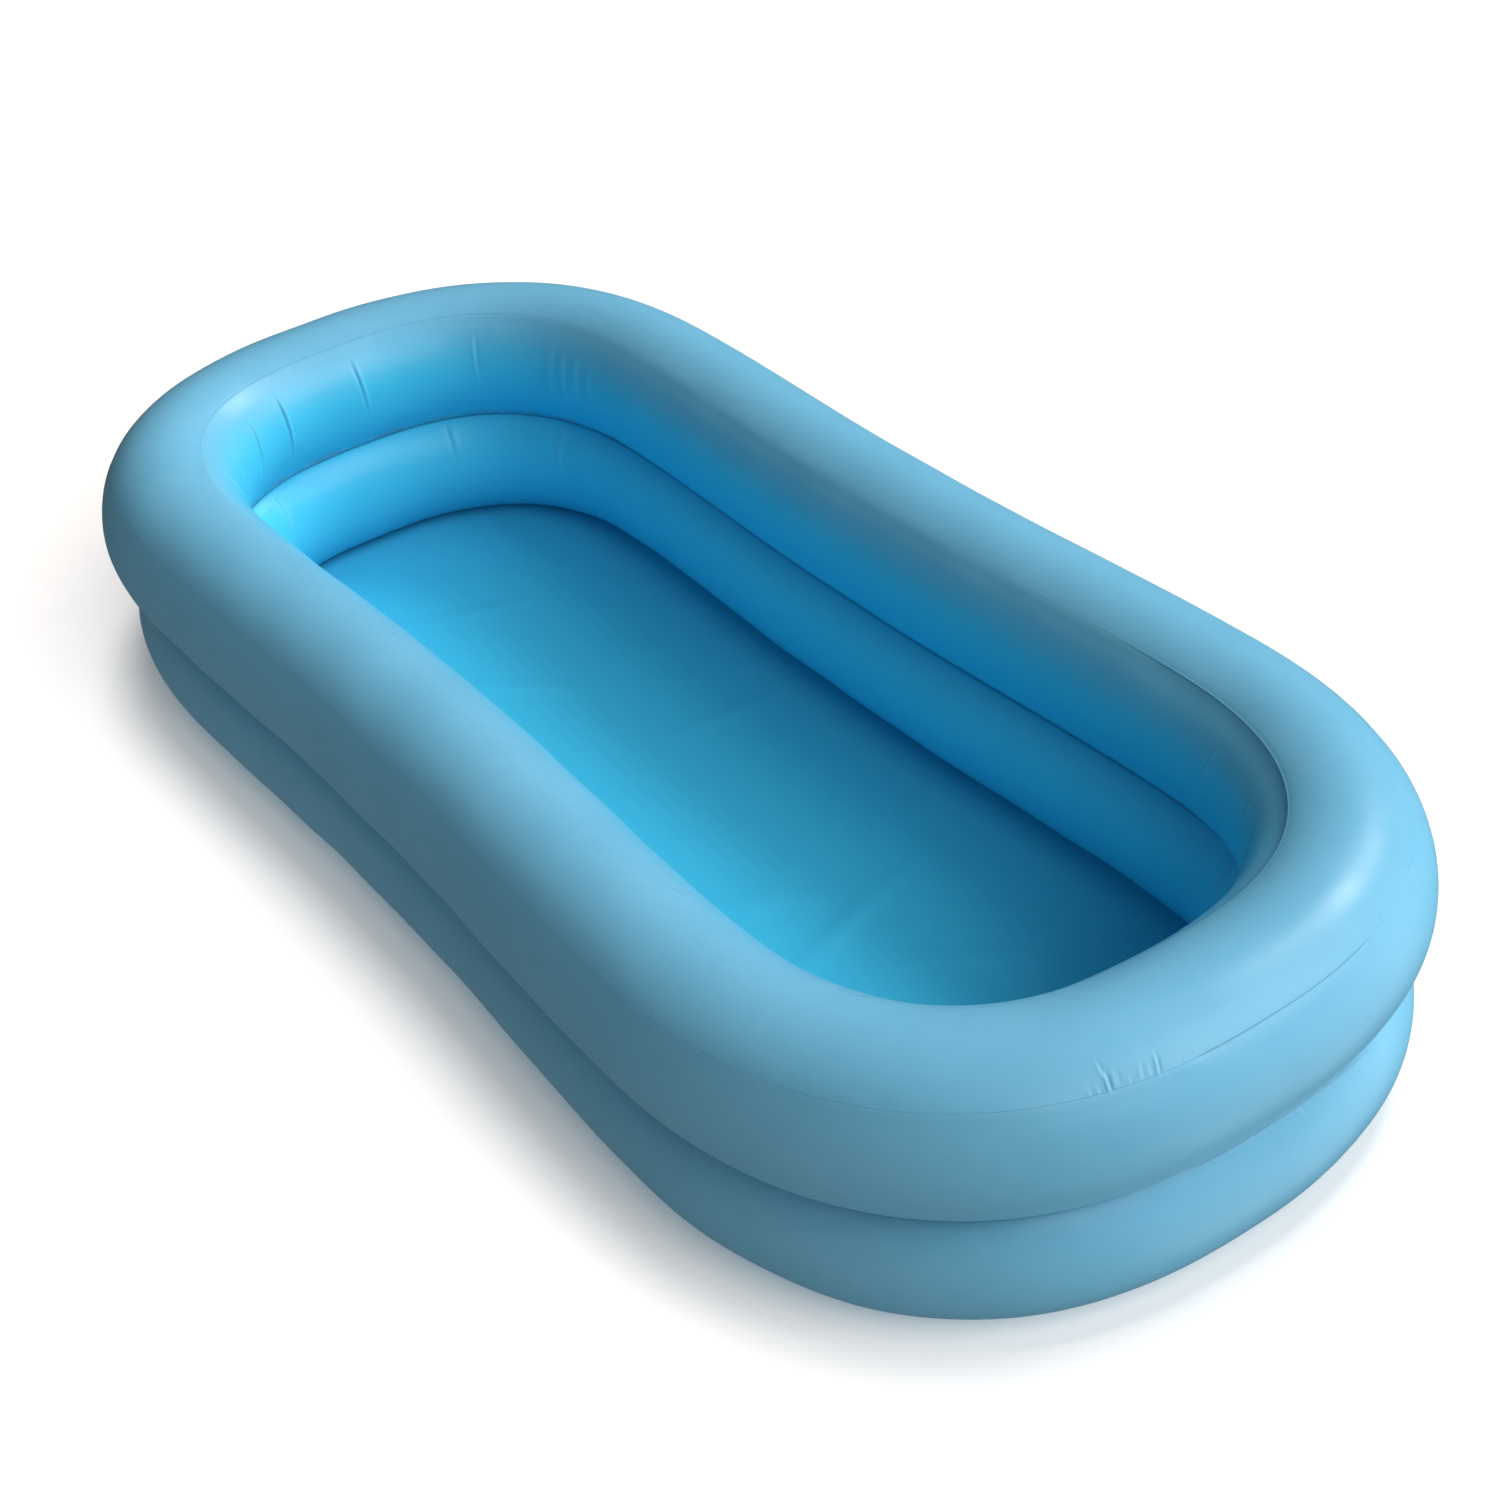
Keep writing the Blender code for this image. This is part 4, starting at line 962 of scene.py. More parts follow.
def fill_window(faces, section, window, relief, numbers, inner_numbers, outer, inner, edges, some):
    """Rings of faces from the window's edge to the valve's hole, outside and inside."""
    (first, last), (low, high) = edges
    some_stations, some_rows = some
    fine_loop = loop_between(range(first, last + 1), range(low, high + 1))
    some_first, some_last = (int(np.flatnonzero(some_stations == spot)[0]) for spot in (first, last))
    some_low, some_high = (int(np.flatnonzero(some_rows == spot)[0]) for spot in (low, high))
    coarse_loop = loop_between(range(some_first, some_last + 1), range(some_low, some_high + 1))
    holes = []
    for loop, grid, points, rings, deep in (
        (fine_loop, numbers, outer, WINDOW_RINGS, 0.0), (coarse_loop, inner_numbers, inner, LINER_RINGS, 1.0),
    ):
        i, j = np.array(loop).T
        rim = points[i, j]
        x, up = rim[:, 0], rim[:, 2] - window.centre[1]
        bearing = np.arctan2(up, x)
        rows = [grid[i, j]]
        for k in range(1, rings + 1):
            share = k / rings
            ring_x = (1.0 - share) * x + share * HOLE_RADIUS * np.cos(bearing)
            ring_up = (1.0 - share) * up + share * HOLE_RADIUS * np.sin(bearing)
            spots = window.surface(ring_x, ring_up)
            along = VALVE_ALONG - ring_x
            across = np.interp(window.centre[1] + ring_up, section.dense[:, 1], section.place)
            flat, _ = section.at(across)
            height, creased = relief(along, flat)
            spots[:, 1] += height - deep * FILM
            rows.append(faces.add_points(spots, along, across, 0.0, creased, deep))
        faces.add_grid(np.stack(rows, 1))
        holes.append(rows[-1])
    order = {place: k for k, place in enumerate(fine_loop)}
    picks = [order[(some_stations[i], some_rows[j])] for i, j in coarse_loop]
    faces.triangles += zipped(holes[0], holes[1], picks)


# The floor sheet, meshed over the basin's plan

SEAM_OFFSET = LOWER_CENTRE[0] - LOWER_FACE * math.cos(GROUND_ANGLE)
FLOOR_EDGE = SEAM_OFFSET + FLOOR_LAP
FLOOR_BRINK = SEAM_OFFSET - FOLD_CLEARANCE
FLOOR_FOOT = SEAM_OFFSET - FLOOR_STEP_LENGTH
FLOOR_CELL = 0.0050
DRAIN_X = 0.5600
DRAIN_HOLE_RADIUS = 0.0095
DRAIN_STILL = 0.0300
DRAIN_RINGS = (DRAIN_HOLE_RADIUS, 0.0130, 0.0180, 0.0240, 0.0290)
DRAIN_CLEAR = 0.0320
DRAIN_FACETS = 64
FLOOR_STATIONS = 1100
FLOOR_RINGS_REACH = -0.110
FLOOR_MIDDLE = -0.150
WRINKLES = 20
WRINKLE_MARGIN = 0.075
WRINKLE_FADE = 0.030


def from_drain(points):
    return np.hypot(points[:, 0] - DRAIN_X, points[:, 1])


def past_edge(points, base, out, nearest):
    """How far out of the plan line points lie, by the nearest place on it to each."""
    return np.einsum("ij,ij->i", points - base[nearest], out[nearest])


def floor_height(points, offsets):
    """The floor's top face: welded edge, step down, and wrinkles that rise from the ground."""
    top = FILM + LAYER * smoothstep((offsets - FLOOR_FOOT) / (FLOOR_BRINK - FLOOR_FOOT))
    draw = np.random.default_rng(31)
    free = 1.0 - smoothstep((offsets + WRINKLE_MARGIN) / WRINKLE_FADE)
    free = free * smoothstep((from_drain(points) - DRAIN_STILL) / WRINKLE_FADE)
    for _ in range(WRINKLES):
        spot = np.array([draw.uniform(-0.64, 0.62), draw.uniform(-0.19, 0.19)])
        heading = draw.uniform(0.0, math.pi)
        length, width = draw.uniform(0.05, 0.16), draw.uniform(0.009, 0.020)
        rise = draw.uniform(0.0006, 0.0020)
        local = points - spot
        run = local @ np.array([math.cos(heading), math.sin(heading)])
        side = local @ np.array([-math.sin(heading), math.cos(heading)]) - 0.6 * run ** 2
        top = top + free * rise * np.exp(-(run / length) ** 2 - (side / width) ** 2)
    return top


def floor_sheet():
    """The floor as one triangulated sheet with the drain's hole."""
    base, out = plan_at(np.linspace(0.0, AROUND, FLOOR_STATIONS, endpoint=False))
    rings = [(base + out * offset, offset) for offset in (FLOOR_EDGE, FLOOR_BRINK, FLOOR_FOOT)]
    for offset in np.arange(FLOOR_FOOT - FLOOR_CELL, FLOOR_RINGS_REACH, -FLOOR_CELL):
        rings.append(((base + out * offset)[::2], offset))
    rings = [(ring[from_drain(ring) > DRAIN_CLEAR], offset) for ring, offset in rings]
    ring_offsets = np.concatenate([np.full(len(ring), offset) for ring, offset in rings])
    drain = []
    for k, radius in enumerate(DRAIN_RINGS):
        turn = 2.0 * math.pi * (np.arange(DRAIN_FACETS) + 0.5 * (k % 2)) / DRAIN_FACETS
        drain.append(np.stack([DRAIN_X + radius * np.cos(turn), radius * np.sin(turn)], 1))
    x, y = np.meshgrid(np.arange(-0.75, 0.75, FLOOR_CELL), np.arange(-0.24, 0.24, FLOOR_CELL))
    x = x + 0.5 * FLOOR_CELL * (np.arange(x.shape[0])[:, None] % 2)
    cells = np.stack([x.ravel(), y.ravel()], 1)
    inner = base + out * FLOOR_RINGS_REACH
    gap = np.array([np.min(np.hypot(*(inner - cell).T)) for cell in cells])
    nearest = np.array([np.argmin(np.hypot(*(base - cell).T)) for cell in cells])
    free = (past_edge(cells, base, out, nearest) < FLOOR_RINGS_REACH) & (gap > 0.6 * FLOOR_CELL)
    cells = cells[free & (from_drain(cells) > DRAIN_CLEAR)]

    spots = np.concatenate([*(ring for ring, _ in rings), *drain, cells])
    counts = ((0, FLOOR_STATIONS), (len(ring_offsets), DRAIN_FACETS))
    loops = [list(range(first, first + count)) for first, count in counts]
    edges = [(a, b) for loop in loops for a, b in zip(loop, loop[1:] + loop[:1])]
    result = delaunay_2d_cdt([Vector(spot) for spot in spots], edges, [], 0, 1e-7)
    made = np.array([tuple(point) for point in result[0]])
    offset_of = np.full(len(spots), FLOOR_MIDDLE)
    offset_of[:len(ring_offsets)] = ring_offsets
    offsets = np.array([offset_of[source[0]] if source else FLOOR_MIDDLE for source in result[3]])
    triangles = np.array([face for face in result[2] if len(face) == 3])
    middles = made[triangles].mean(1)
    nearest = np.array([np.argmin(np.abs(base - middle).sum(1)) for middle in middles])
    inside = past_edge(middles, base, out, nearest) < FLOOR_EDGE + 0.0004
    triangles = triangles[inside & (from_drain(middles) > DRAIN_HOLE_RADIUS * 0.995)]

    top = floor_height(made, offsets)
    weld = (offsets > FLOOR_BRINK - 0.001).astype(float)
    faces = Faces(0.5)
    upper, lower = (
        faces.add_points(np.column_stack([made, top - deep * FILM]), *made.T, weld, 0.0, deep, 1.0)
        for deep in (0.0, 1.0)
    )
    faces.triangles = [tuple(upper[face]) for face in triangles]
    faces.triangles += [tuple(lower[face[::-1]]) for face in triangles]
    back = {source[0]: k for k, source in enumerate(result[3]) if source}
    for a, b in edges:
        faces.quads.append(np.array([[upper[back[a]], upper[back[b]], lower[back[b]], lower[back[a]]]]))
    return add_object("floor_sheet_film", faces.mesh("floor_sheet_film"), FILM_FINISH)


# Turned pieces

def rounded_profile(profile, radius, closed):
    """A profile of (radius, height) whose corners are eased by a small arc."""
    points = [np.array(point) for point in profile]
    made = []
    for k, point in enumerate(points):
        if not closed and k in (0, len(points) - 1):
            made.append(point)
            continue
        before, after = points[k - 1] - point, points[(k + 1) % len(points)] - point
        reach = min(radius, 0.45 * np.linalg.norm(before), 0.45 * np.linalg.norm(after))
        start, end = (point + reach * way / np.linalg.norm(way) for way in (before, after))
        for t in (0.0, 0.33, 0.67, 1.0):
            made.append((1 - t) ** 2 * start + 2 * t * (1 - t) * point + t ** 2 * end)
    return made


def divided(profile, step, closed):
    """A profile with points added so that none is further than step from the next."""
    made = []
    pairs = list(zip(profile, profile[1:] + profile[:1]))
    for start, end in pairs if closed else pairs[:-1]:
        parts = max(1, math.ceil(np.linalg.norm(end - start) / step))
        made += [start + (end - start) * k / parts for k in range(parts)]
    return made if closed else made + [profile[-1]]


def turned(profile, facets=120, ease=0.0003, step=0.0020, shape=None):
    """A closed bmesh spun from a profile; shape(radius, height, angle) may move the radius."""
    closed = profile[0][0] > 0.0
    points = divided(rounded_profile(profile, ease, closed), step, closed)
    bm = bmesh.new()
    rings = []
    for radius, height in points:
        if radius < 1e-6:
            rings.append([bm.verts.new((0.0, 0.0, height))])
            continue
        ring = []
        for k in range(facets):
            angle = 2.0 * math.pi * k / facets
            reach = shape(radius, height, angle) if shape else radius
            ring.append(bm.verts.new((reach * math.cos(angle), reach * math.sin(angle), height)))
        rings.append(ring)
    pairs = list(zip(rings, rings[1:] + rings[:1]))
    for first, second in pairs if closed else pairs[:-1]:
        for k in range(facets):
            after = (k + 1) % facets
            corners = [ring[place % len(ring)] for ring, place in (
                (first, k), (first, after), (second, after), (second, k))]
            corners = list(dict.fromkeys(corners))
            if len(corners) > 2:
                bm.faces.new(corners)
    bmesh.ops.recalc_face_normals(bm, faces=bm.faces)
    return bm


def united(name, parts, operation="UNION"):
    """One bmesh from several closed ones, joined by exact Booleans."""
    first, *others = [linked(f"{name}_{k}", mesh_of(f"{name}_{k}", bm)) for k, bm in enumerate(parts)]
    for other in others:
        step = first.modifiers.new(other.name, "BOOLEAN")
        step.operation = operation
        step.solver = "EXACT"
        step.object = other
    graph = bpy.context.evaluated_depsgraph_get()
    bm = bmesh.new()
    bm.from_mesh(first.evaluated_get(graph).to_mesh())
    for scratch in (first, *others):
        bpy.data.objects.remove(scratch, do_unlink=True)
    return bm


def placed_piece(name, bm, seat, made_of, body, replaces):
    """Put a bmesh at its seat as a finished piece that rides on a body and stands for a node."""
    bm.transform(seat)
    made = add_object(name, mesh_of(name, bm), made_of, 34.0)
    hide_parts(replaces)
    if body:
        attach(made, body)
    return made


def stepped(*places):
    """A profile of level and upright runs, from alternate radii and heights."""
    return [(places[k + k % 2], places[k + 1 - k % 2]) for k in range(len(places) - 1)]


def flanged(lead, radius, ridges, neck, neck_top, bore):
    """The profile of a welded flange with a neck; ridges are first radius, step and count."""
    line = []
    first, step, count = ridges
    for k in range(count):
        place = first + step * k
        line += [(place + RIDGE_HEIGHT * j, FLANGE_TOP + RIDGE_HEIGHT * (j % 2)) for j in range(3)]
    return [
        *stepped(*lead, radius, FLANGE_EDGE), (radius - FLANGE_BEVEL, FLANGE_TOP), *line[::-1],
        (neck, FLANGE_TOP), (neck, neck_top), (bore, neck_top),
    ]


def notched(reach, count, width, depth, low):
    """A rim whose outer edge dips at even places above a height, for the fingers."""
    def shape(radius, height, angle):
        if radius < reach or height < low:
            return radius
        gap = (angle * count / (2.0 * math.pi) + 0.5) % 1.0 - 0.5
        across = gap * 2.0 * math.pi / count * radius / width
        return radius - depth * math.exp(-across ** 4)
    return shape


def threaded(shape, low, high, radii, pitch, rise):
    """A shape with a fine screw thread between two heights, on surfaces within radii."""
    def with_thread(radius, height, angle):
        if low < height < high and radii[0] < radius < radii[1]:
            fade = min(1.0, (height - low) / (0.5 * pitch), (high - height) / (0.5 * pitch))
            return radius + rise * fade * (math.cos(2.0 * math.pi * height / pitch - angle) - 1.0) * 0.5
        return shape(radius, height, angle) if shape else radius
    return with_thread


def lofted(rows):
    """A closed bmesh through rows of points, capped at the first and the last."""
    bm = bmesh.new()
    rows = [[bm.verts.new(point) for point in row] for row in rows]
    for row, after in zip(rows, rows[1:]):
        for k in range(len(row)):
            nxt = (k + 1) % len(row)
            bm.faces.new((row[k], row[nxt], after[nxt], after[k]))
    bm.faces.new(rows[0])
    bm.faces.new(rows[-1])
    bmesh.ops.recalc_face_normals(bm, faces=bm.faces)
    return bm


def strap_bmesh(path, width, thickness):
    """A strap with rounded edges along a path of (x, z) points."""
    half = 0.5 * thickness
    outline = []
    for side in (1.0, -1.0):
        for k in range(7):
            angle = math.pi * (0.5 - k / 6.0)
            across = 0.5 * width - half + half * math.cos(angle)
            outline.append((side * across, side * half * math.sin(angle)))
    rows = []
    for k, point in enumerate(path):
        run = path[min(k + 1, len(path) - 1)] - path[max(k - 1, 0)]
        lift = np.array([-run[1], run[0]]) / np.linalg.norm(run)
        rows.append([(point[0] + lift[0] * up, across, point[1] + lift[1] * up) for across, up in outline])
    return lofted(rows)


def tether_bmesh(name, rings, root):
    """Two rings, each by its inner radius and low face, joined by a strap that loops out past root."""
    parts = [
        turned(stepped(inner, level, inner + TETHER_RING_WIDTH, level + TETHER_THICKNESS, inner), 96, 0.00025)
        for inner, level in rings
    ]
    start, end = (
        np.array([inner + 0.5 * TETHER_RING_WIDTH, level + 0.5 * TETHER_THICKNESS]) for inner, level in rings
    )
    bend = TETHER_BEND_SHARE * (end[1] - start[1])
    centre = np.array([root + TETHER_LOOP - bend, end[1] - bend])
    turn = np.linspace(0.5 * math.pi, -0.5 * math.pi, 15)
    arc = [centre + bend * np.array([math.cos(t), math.sin(t)]) for t in turn]
    fall = np.array([root, start[1]]) - arc[-1]
    ramp = [arc[-1] + fall * [t, t * t * (3.0 - 2.0 * t)] for t in np.linspace(0.0, 1.0, 11)[1:]]
    level = [end + (arc[0] - end) * t for t in np.linspace(0.0, 1.0, 9)[:-1]]
    strap = strap_bmesh(level + arc + ramp + [start], TETHER_WIDTH, TETHER_THICKNESS)
    return united(name, [parts[0], strap, parts[1]])


# Air valves

COLLAR_BORE = 0.0130
COLLAR_RADIUS = 0.0155
COLLAR_TOP = 0.0036
COLLAR_DEPTH = 0.0070
FIT_GAP = 0.0003
FLANGE_RADIUS = 0.0300
FLANGE_TOP = 0.0017
FLANGE_EDGE = 0.0010
FLANGE_BEVEL = 0.0020
INSERT_RADIUS = 0.0126
INSERT_BORE = 0.0090
INSERT_DEPTH = 0.0062
RIM_RADIUS = 0.0170
RIM_LOW = 0.0052
RIM_TOP = 0.0070
NECK_RADIUS = 0.0112
NECK_TOP = 0.0106
GRILLE_TOP = -0.0047
BAR_WIDTH = 0.0018
HUB_RADIUS = 0.0032
HUB_HOLE = 0.0017
FLAP_RADIUS = 0.0106
FLAP_THICKNESS = 0.0008
STEM_RADIUS = 0.0013
STEM_HEAD_RADIUS = 0.0023
STEM_HEAD_LOW = -0.0019
STEM_HEAD_TOP = -0.0004
CAP_INNER = 0.0116
CAP_GROOVE = 0.0130
CAP_LIP_RADIUS = 0.0144
CAP_LOW = 0.0073
CAP_GROOVE_LOW = 0.0083
CAP_GROOVE_TOP = 0.0114
CAP_RADIUS = 0.0156
CAP_CEILING = 0.0120
CAP_TOP = 0.0133
CAP_SEAL_LOW = 0.0109
CAP_SEAL_TOP = 0.0117
SEAL_LOW = 0.0039
SEAL_TOP = 0.0049
TETHER_THICKNESS = 0.0010
TETHER_WIDTH = 0.0060
TETHER_RING_WIDTH = 0.0033
TETHER_LOOP = 0.0140
TETHER_BEND_SHARE = 0.25
INSERT_PITCH = 0.0030
CAP_PITCH = 0.0015
RIDGE_HEIGHT = 0.0003
VALVE_RIDGES = (0.0212, 0.0018, 3)
DRAIN_RIDGES = (0.0190, 0.0020, 2)
CAP_BEVEL = 0.0006
CAP_DISH = 0.0112
CAP_DISH_DEPTH = 0.0004
SEAL_NODES = {"seal": "insert_seal", "cap_seal": "cap_seal"}
RIM_NOTCHES = (0.0150, 6, 0.0030, 0.0024, 0.0)
CAP_NOTCHES = (0.0146, 10, 0.0012, 0.0009, CAP_GROOVE_TOP - 0.0002)
INSERT_THREAD = (-0.0058, 0.0036, (0.0122, 0.0130), INSERT_PITCH, 0.0004)
NECK_THREAD = (0.0074, 0.0103, (0.0110, 0.0114), CAP_PITCH, 0.0003)


def box_bmesh(size, middle):
    bm = bmesh.new()
    bmesh.ops.create_cube(bm, size=1.0, matrix=Matrix.Translation(middle) @ Matrix.Diagonal((*size, 1.0)))
    return bm


def insert_bmesh(chamber):
    """The threaded body with its grip rim and neck, the cross-barred grille, and the hub's bore."""
    skirt = threaded(notched(*RIM_NOTCHES), *INSERT_THREAD)
    profile = stepped(
        INSERT_BORE, -INSERT_DEPTH, INSERT_RADIUS, RIM_LOW, RIM_RADIUS, RIM_TOP, NECK_RADIUS, NECK_TOP,
        INSERT_BORE)
    body = turned(profile, 144, 0.0003, 0.0004, threaded(skirt, *NECK_THREAD))
    low, high = -INSERT_DEPTH, GRILLE_TOP
    length = INSERT_BORE + INSERT_RADIUS - 0.0004
    middle = Vector((0.0, 0.0, 0.5 * (low + high)))
    sizes = ((length, BAR_WIDTH, high - low), (BAR_WIDTH, length, high - low))
    bars = [box_bmesh(size, middle) for size in sizes]
    hub = turned(stepped(0.0, low, HUB_RADIUS, high, 0.0), 64, 0.0002)
    solid = united(chamber + "_grille", [body, *bars, hub])
    bore = turned(stepped(0.0, low - 0.002, HUB_HOLE, high + 0.002, 0.0), 48, 0.00001)
    return united(chamber + "_bore", [solid, bore], "DIFFERENCE")


def air_valve(chamber, window):
    """One chamber's valve: base, seals, insert, flap, cap and tether."""
    seat = Matrix.Translation((0.0, window.land, window.centre[1])) @ Matrix.Rotation(-0.5 * math.pi, 4, "X")

    def put(piece, bm, made_of, body, node):
        return placed_piece(f"{chamber}_{piece}", bm, seat, made_of, body, f"{chamber}_{node}")

    def put_ring(piece, inner, low, outer, high, ease):
        put(f"{piece}_ring", turned(stepped(inner, low, outer, high, inner), 96, ease), SEAL_FINISH,
            f"{chamber}_{SEAL_NODES[piece]}", SEAL_NODES[piece])

    collar = (COLLAR_BORE, -COLLAR_DEPTH, COLLAR_RADIUS, FIT_GAP)
    base = flanged(collar, FLANGE_RADIUS, VALVE_RIDGES, COLLAR_RADIUS, COLLAR_TOP, COLLAR_BORE)
    put("base", turned(base, 128, 0.00025), VALVE_FINISH, "tub", "valve_base")
    put_ring("seal", INSERT_RADIUS + FIT_GAP, SEAL_LOW, COLLAR_RADIUS, SEAL_TOP, 0.0004)
    put("insert_body", insert_bmesh(chamber), VALVE_FINISH, f"{chamber}_insert", "valve_insert")
    disc_top = -INSERT_DEPTH - FIT_GAP
    flap = [
        *stepped(0.0, disc_top - FLAP_THICKNESS, FLAP_RADIUS, disc_top, STEM_RADIUS, STEM_HEAD_LOW,
                 STEM_HEAD_RADIUS),
        (STEM_RADIUS, STEM_HEAD_TOP), (0.0, STEM_HEAD_TOP),
    ]
    put("flap_disc", turned(flap, 72, 0.0003), SILICONE_FINISH, f"{chamber}_flap", "valve_flap")
    put_ring("cap_seal", INSERT_BORE, CAP_SEAL_LOW, NECK_RADIUS, CAP_SEAL_TOP, 0.0003)
    cap = [
        *stepped(0.0, CAP_CEILING, CAP_INNER, CAP_LOW, CAP_LIP_RADIUS, CAP_GROOVE_LOW, CAP_GROOVE,
                 CAP_GROOVE_TOP, CAP_RADIUS, CAP_TOP - CAP_BEVEL),
        (CAP_RADIUS - CAP_BEVEL, CAP_TOP), (CAP_DISH, CAP_TOP), (CAP_DISH - 0.0006, CAP_TOP - CAP_DISH_DEPTH),
        (0.0, CAP_TOP - CAP_DISH_DEPTH),
    ]
    cap = turned(cap, 240, 0.0003, 0.0008, notched(*CAP_NOTCHES))
    put("cap_body", cap, VALVE_FINISH, f"{chamber}_cap", "valve_cap")
    strap = tether_bmesh(f"{chamber}_tether", (
        (COLLAR_RADIUS + FIT_GAP, FLANGE_TOP + FIT_GAP),
        (CAP_GROOVE + FIT_GAP, CAP_GROOVE_TOP - FIT_GAP - TETHER_THICKNESS),
    ), FLANGE_RADIUS)
    tether = put("tether_strap", strap, TETHER_FINISH, None, "valve_tether")
    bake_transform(tether)


# Drain

DRAIN_FLANGE_RADIUS = 0.0260
DRAIN_NECK_RADIUS = 0.0125
DRAIN_NECK_TOP = 0.0085
PLUG_RADIUS = 0.0091
PLUG_GROOVE = 0.0100
PLUG_GROOVE_LOW = 0.0088
PLUG_GROOVE_TOP = 0.0104
PLUG_HEAD_RADIUS = 0.0142
PLUG_HEAD_TOP = 0.0126
PLUG_TAB_TOP = 0.0186
DRAIN_ROOT = 0.0191


def tab_bmesh():
    """The plug's finger tab: an upright plate with rounded corners and eased edges."""
    half_length, low, top, corner = 0.0080, PLUG_GROOVE_TOP + 0.0004, PLUG_TAB_TOP, 0.0035
    outline = [(-half_length, low), (half_length, low)]
    for centre_y, start in ((half_length - corner, 0.0), (-half_length + corner, 0.5 * math.pi)):
        for k in range(9):
            angle = start + 0.5 * math.pi * k / 8
            outline.append((centre_y + corner * math.cos(angle), top - corner + corner * math.sin(angle)))
    bm = lofted([[(x, y, z) for y, z in outline] for x in (-0.0015, 0.0015)])
    edges = [edge for edge in bm.edges if abs(edge.verts[0].co.x - edge.verts[1].co.x) < 1e-6]
    bmesh.ops.bevel(bm, geom=edges, offset=0.0004, segments=2, affect="EDGES", profile=0.5)
    return bm


def drain():
    """The drain's flange and neck, its plug and its tether."""
    seat = Matrix.Translation((DRAIN_X, 0.0, FILM))
    base = turned(flanged(
        (DRAIN_HOLE_RADIUS, FIT_GAP), DRAIN_FLANGE_RADIUS, DRAIN_RIDGES, DRAIN_NECK_RADIUS, DRAIN_NECK_TOP,
        DRAIN_HOLE_RADIUS), 120, 0.0003)
    placed_piece("drain_flange", base, seat, VALVE_FINISH, "tub", "drain_base")
    plug = turned([
        (0.0, FIT_GAP), (PLUG_RADIUS - 0.0005, FIT_GAP), (PLUG_RADIUS, 0.0013),
        *stepped(PLUG_RADIUS, PLUG_GROOVE_LOW, PLUG_GROOVE, PLUG_GROOVE_TOP, PLUG_HEAD_RADIUS,
                 PLUG_HEAD_TOP, 0.0),
    ], 120, 0.0004)
    plug = united("plug", [plug, tab_bmesh()])
    placed_piece("drain_stopper", plug, seat, VALVE_FINISH, "drain_plug", "drain_plug")
    strap = tether_bmesh("drain_tether", (
        (DRAIN_NECK_RADIUS + FIT_GAP, FLANGE_TOP + FIT_GAP),
        (PLUG_GROOVE + FIT_GAP, PLUG_GROOVE_LOW + FIT_GAP),
    ), DRAIN_ROOT)
    tether = placed_piece("drain_tether_strap", strap, seat, TETHER_FINISH, None, "drain_tether")
    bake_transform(tether)


# Floor, light and camera

# Each lamp: name, bearing and height in degrees, strength, how wide it looks in degrees, what it lights
SUNS = (
    ("right", 0.0, 40.0, 0.84, 40.0, "tub"), ("behind_right", 45.0, 40.0, 1.70, 40.0, "tub"),
    ("behind", 93.0, 42.0, 1.70, 18.0, "tub"), ("low_right", 65.0, 10.0, 0.45, 40.0, "tub"),
    ("from_floor", 45.0, -25.0, 0.80, 60.0, "tub"), ("from_front", -80.0, -20.0, 0.20, 60.0, "tub"),
    ("over_ground", 73.0, 82.0, 1.52, 20.0, "ground"), ("along_ground", 0.0, 38.0, 3.33, 62.0, "ground"),
)
GROUND_REACH = 30.0
GROUND_TOP = -0.0003
SKY_STRENGTH = 0.13
BELOW_STRENGTH = 0.40
SEEN_SKY_STRENGTH = 0.85
GLOSSY_SKY_SHARE = 0.20
CAMERA_SPOT = (1.9608, -1.0933, 1.6601)
CAMERA_TURNS = (2.5998, -0.6197, -0.1186)
CAMERA_LENS = 57.44


def ahead_at(bearing, rise):
    """The direction with a bearing and a height, in radians."""
    return Vector((math.cos(rise) * math.cos(bearing), math.cos(rise) * math.sin(bearing), math.sin(rise)))


def surroundings():
    """A pale floor that only its own lamps light, and the tub's lamps, which leave the floor alone."""
    mesh = bpy.data.meshes.new("ground")
    signs = ((-1, -1), (1, -1), (1, 1), (-1, 1))
    mesh.from_pydata([(x * GROUND_REACH, y * GROUND_REACH, GROUND_TOP) for x, y in signs], [], [(0, 1, 2, 3)])
    ground = linked("ground", mesh)
    make = Nodes("pale_floor", Specular_IOR_Level=0.1, Roughness=0.9)
    shade = make.between(make.noise(3.0, 2.0), 0.3, 0.7)
    mesh.materials.append(make.finish(make.blend(shade, (0.93, 0.90, 0.88, 1.0), (0.95, 0.92, 0.90, 1.0))))
    ground.visible_diffuse = False
    ground.visible_glossy = False
    ground.visible_shadow = False

    lit = {name: bpy.data.collections.new(name) for name in ("tub", "ground")}
    for group in lit.values():
        group.objects.link(ground)
    lit["tub"].collection_objects[0].light_linking.link_state = "EXCLUDE"
    for name, bearing, rise, strength, width, lights in SUNS:
        sun = bpy.data.lights.new(name, "SUN")
        sun.energy = strength
        sun.angle = math.radians(width)
        lamp = linked(name, sun)
        way = ahead_at(math.radians(bearing), math.radians(rise))
        lamp.rotation_euler = way.to_track_quat("Z", "Y").to_euler()
        lamp.light_linking.receiver_collection = lit[lights]


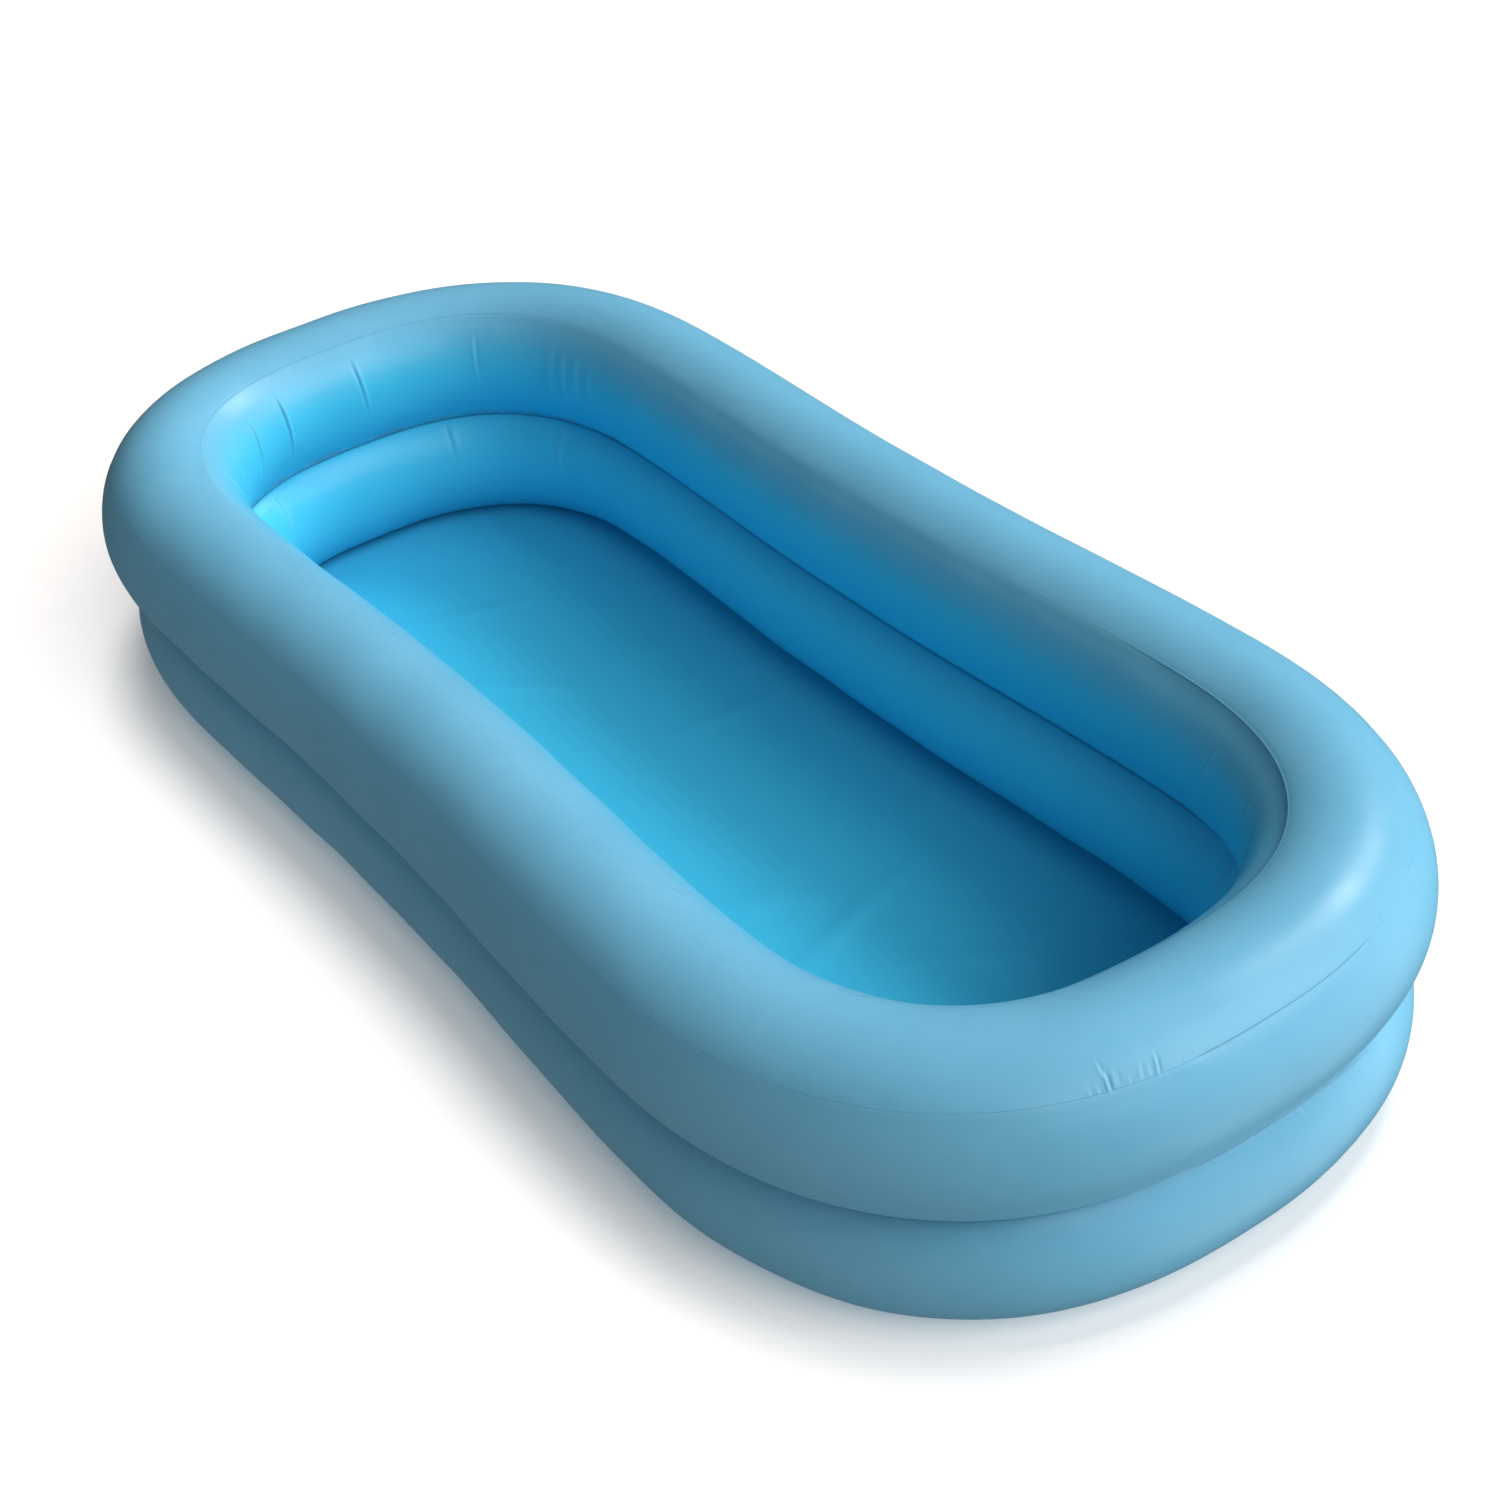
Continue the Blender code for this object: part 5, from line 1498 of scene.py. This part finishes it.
def sky():
    """A gentle sky, stronger below the horizon, weak in reflections and bright where the camera sees it."""
    world = bpy.data.worlds.new("sky")
    world.use_nodes = True
    tree = world.node_tree
    height = add_node(tree, "SeparateXYZ", {0: add_node(tree, "TexCoord")["Generated"]})["Z"]
    path = add_node(tree, "LightPath")
    glow = map_range(tree, height, -0.1, 0.1, BELOW_STRENGTH, SKY_STRENGTH)
    dim = map_range(tree, path["Is Glossy Ray"], 0.0, 1.0, 1.0, GLOSSY_SKY_SHARE)
    product = add_node(tree, "Math", {0: glow, 1: dim}, operation="MULTIPLY")["Value"]
    seen = {0: path["Is Camera Ray"], 1: SEEN_SKY_STRENGTH, 2: product}
    background = tree.nodes["Background"].inputs
    background["Color"].default_value = (1.0, 1.0, 1.0, 1.0)
    tree.links.new(add_node(tree, "Math", seen, operation="MULTIPLY_ADD")["Value"], background["Strength"])
    bpy.context.scene.world = world


def camera():
    """The photograph's viewpoint, fitted to the tub's outline and crease."""
    yaw, pitch, roll = CAMERA_TURNS
    ahead = ahead_at(yaw, pitch)
    level = ahead.cross(Vector((0.0, 0.0, 1.0))).normalized()
    up = level.cross(ahead)
    right = math.cos(roll) * level + math.sin(roll) * up
    top = -math.sin(roll) * level + math.cos(roll) * up
    data = bpy.data.cameras.new("camera")
    data.sensor_fit = "HORIZONTAL"
    data.sensor_width = 36.0
    data.lens = CAMERA_LENS
    made = linked("camera", data)
    made.matrix_world = Matrix.Translation(CAMERA_SPOT) @ Matrix((right, top, -ahead)).transposed().to_4x4()
    bpy.context.scene.camera = made
    bpy.context.scene.view_settings.view_transform = "Standard"


# Put the tub together

upper_window = Window(UPPER_CENTRE, UPPER_FACE)
lower_window = Window(LOWER_CENTRE, LOWER_FACE)
top, lower_outer, lower_inner = top_section(), lower_outer_section(), lower_inner_section()
outer_crease = lower_outer.length - LAP
# Each panel: section, station steps, relief, welded bands, dark lines (painted shade and darker seam edges),
# window
PANELS = {
    "top_panel": (
        top, (END_STATION_STEP, [(*CLUSTER_ZONE, CLUSTER_STEP)]), upper_relief,
        # A darker seam edge on the top panel, partly the cut edge's tone and partly painted shade of its step
        [(0.0, LAP), (top.length - LAP, top.length)], [(0.0, TOP_EDGE_LINE, outer_seam_shows)]),
    "upper_outer_wall": (
        upper_outer_section(), (END_STATION_STEP, [(*CLUSTER_ZONE, CLUSTER_WALL_STEP)]), upper_wall_relief,
        [], [], upper_window),
    "upper_inner_wall": (upper_inner_section(), (INNER_STATION_STEP, FOLD_ZONES), upper_wall_relief, []),
    "lower_outer_wall": (
        lower_outer, (LOWER_END_STATION_STEP, [(*RIPPLE_ZONE, RIPPLE_STEP)]), lower_relief,
        [(outer_crease, lower_outer.length)],
        # Painted shade along the outer crease, and a painted shadow line under the upper bulge
        [(outer_crease, CREASE_SHADE_LINE, lambda along: np.full(along.shape, OUTER_CREASE_PAINTED_SHADE)),
         (lambda along: outer_crease - bead_start(along), BEAD_SHADOW_LINE,
          lambda along: BEAD_PAINTED_SHADOW * bead_shows(along))],
        lower_window),
    "lower_inner_wall": (
        lower_inner, (LOWER_END_STATION_STEP,), lower_relief,
        [(0.0, LAP), (lower_inner.length - FLOOR_LAP, lower_inner.length)],
        # Painted shade along the inner crease
        [(LAP, CREASE_SHADE_LINE, lambda along: np.full(along.shape, INNER_CREASE_PAINTED_SHADE))]),
}
panels = {node: film_panel(f"{node}_film", *settings) for node, settings in PANELS.items()}
for node, panel in {**panels, "floor_sheet": floor_sheet()}.items():
    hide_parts(node)
    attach(panel, "tub")
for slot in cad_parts["chamber_divider"].material_slots:
    slot.material = FILM_FINISH

air_valve("upper", upper_window)
air_valve("lower", lower_window)
drain()
surroundings()
sky()
camera()
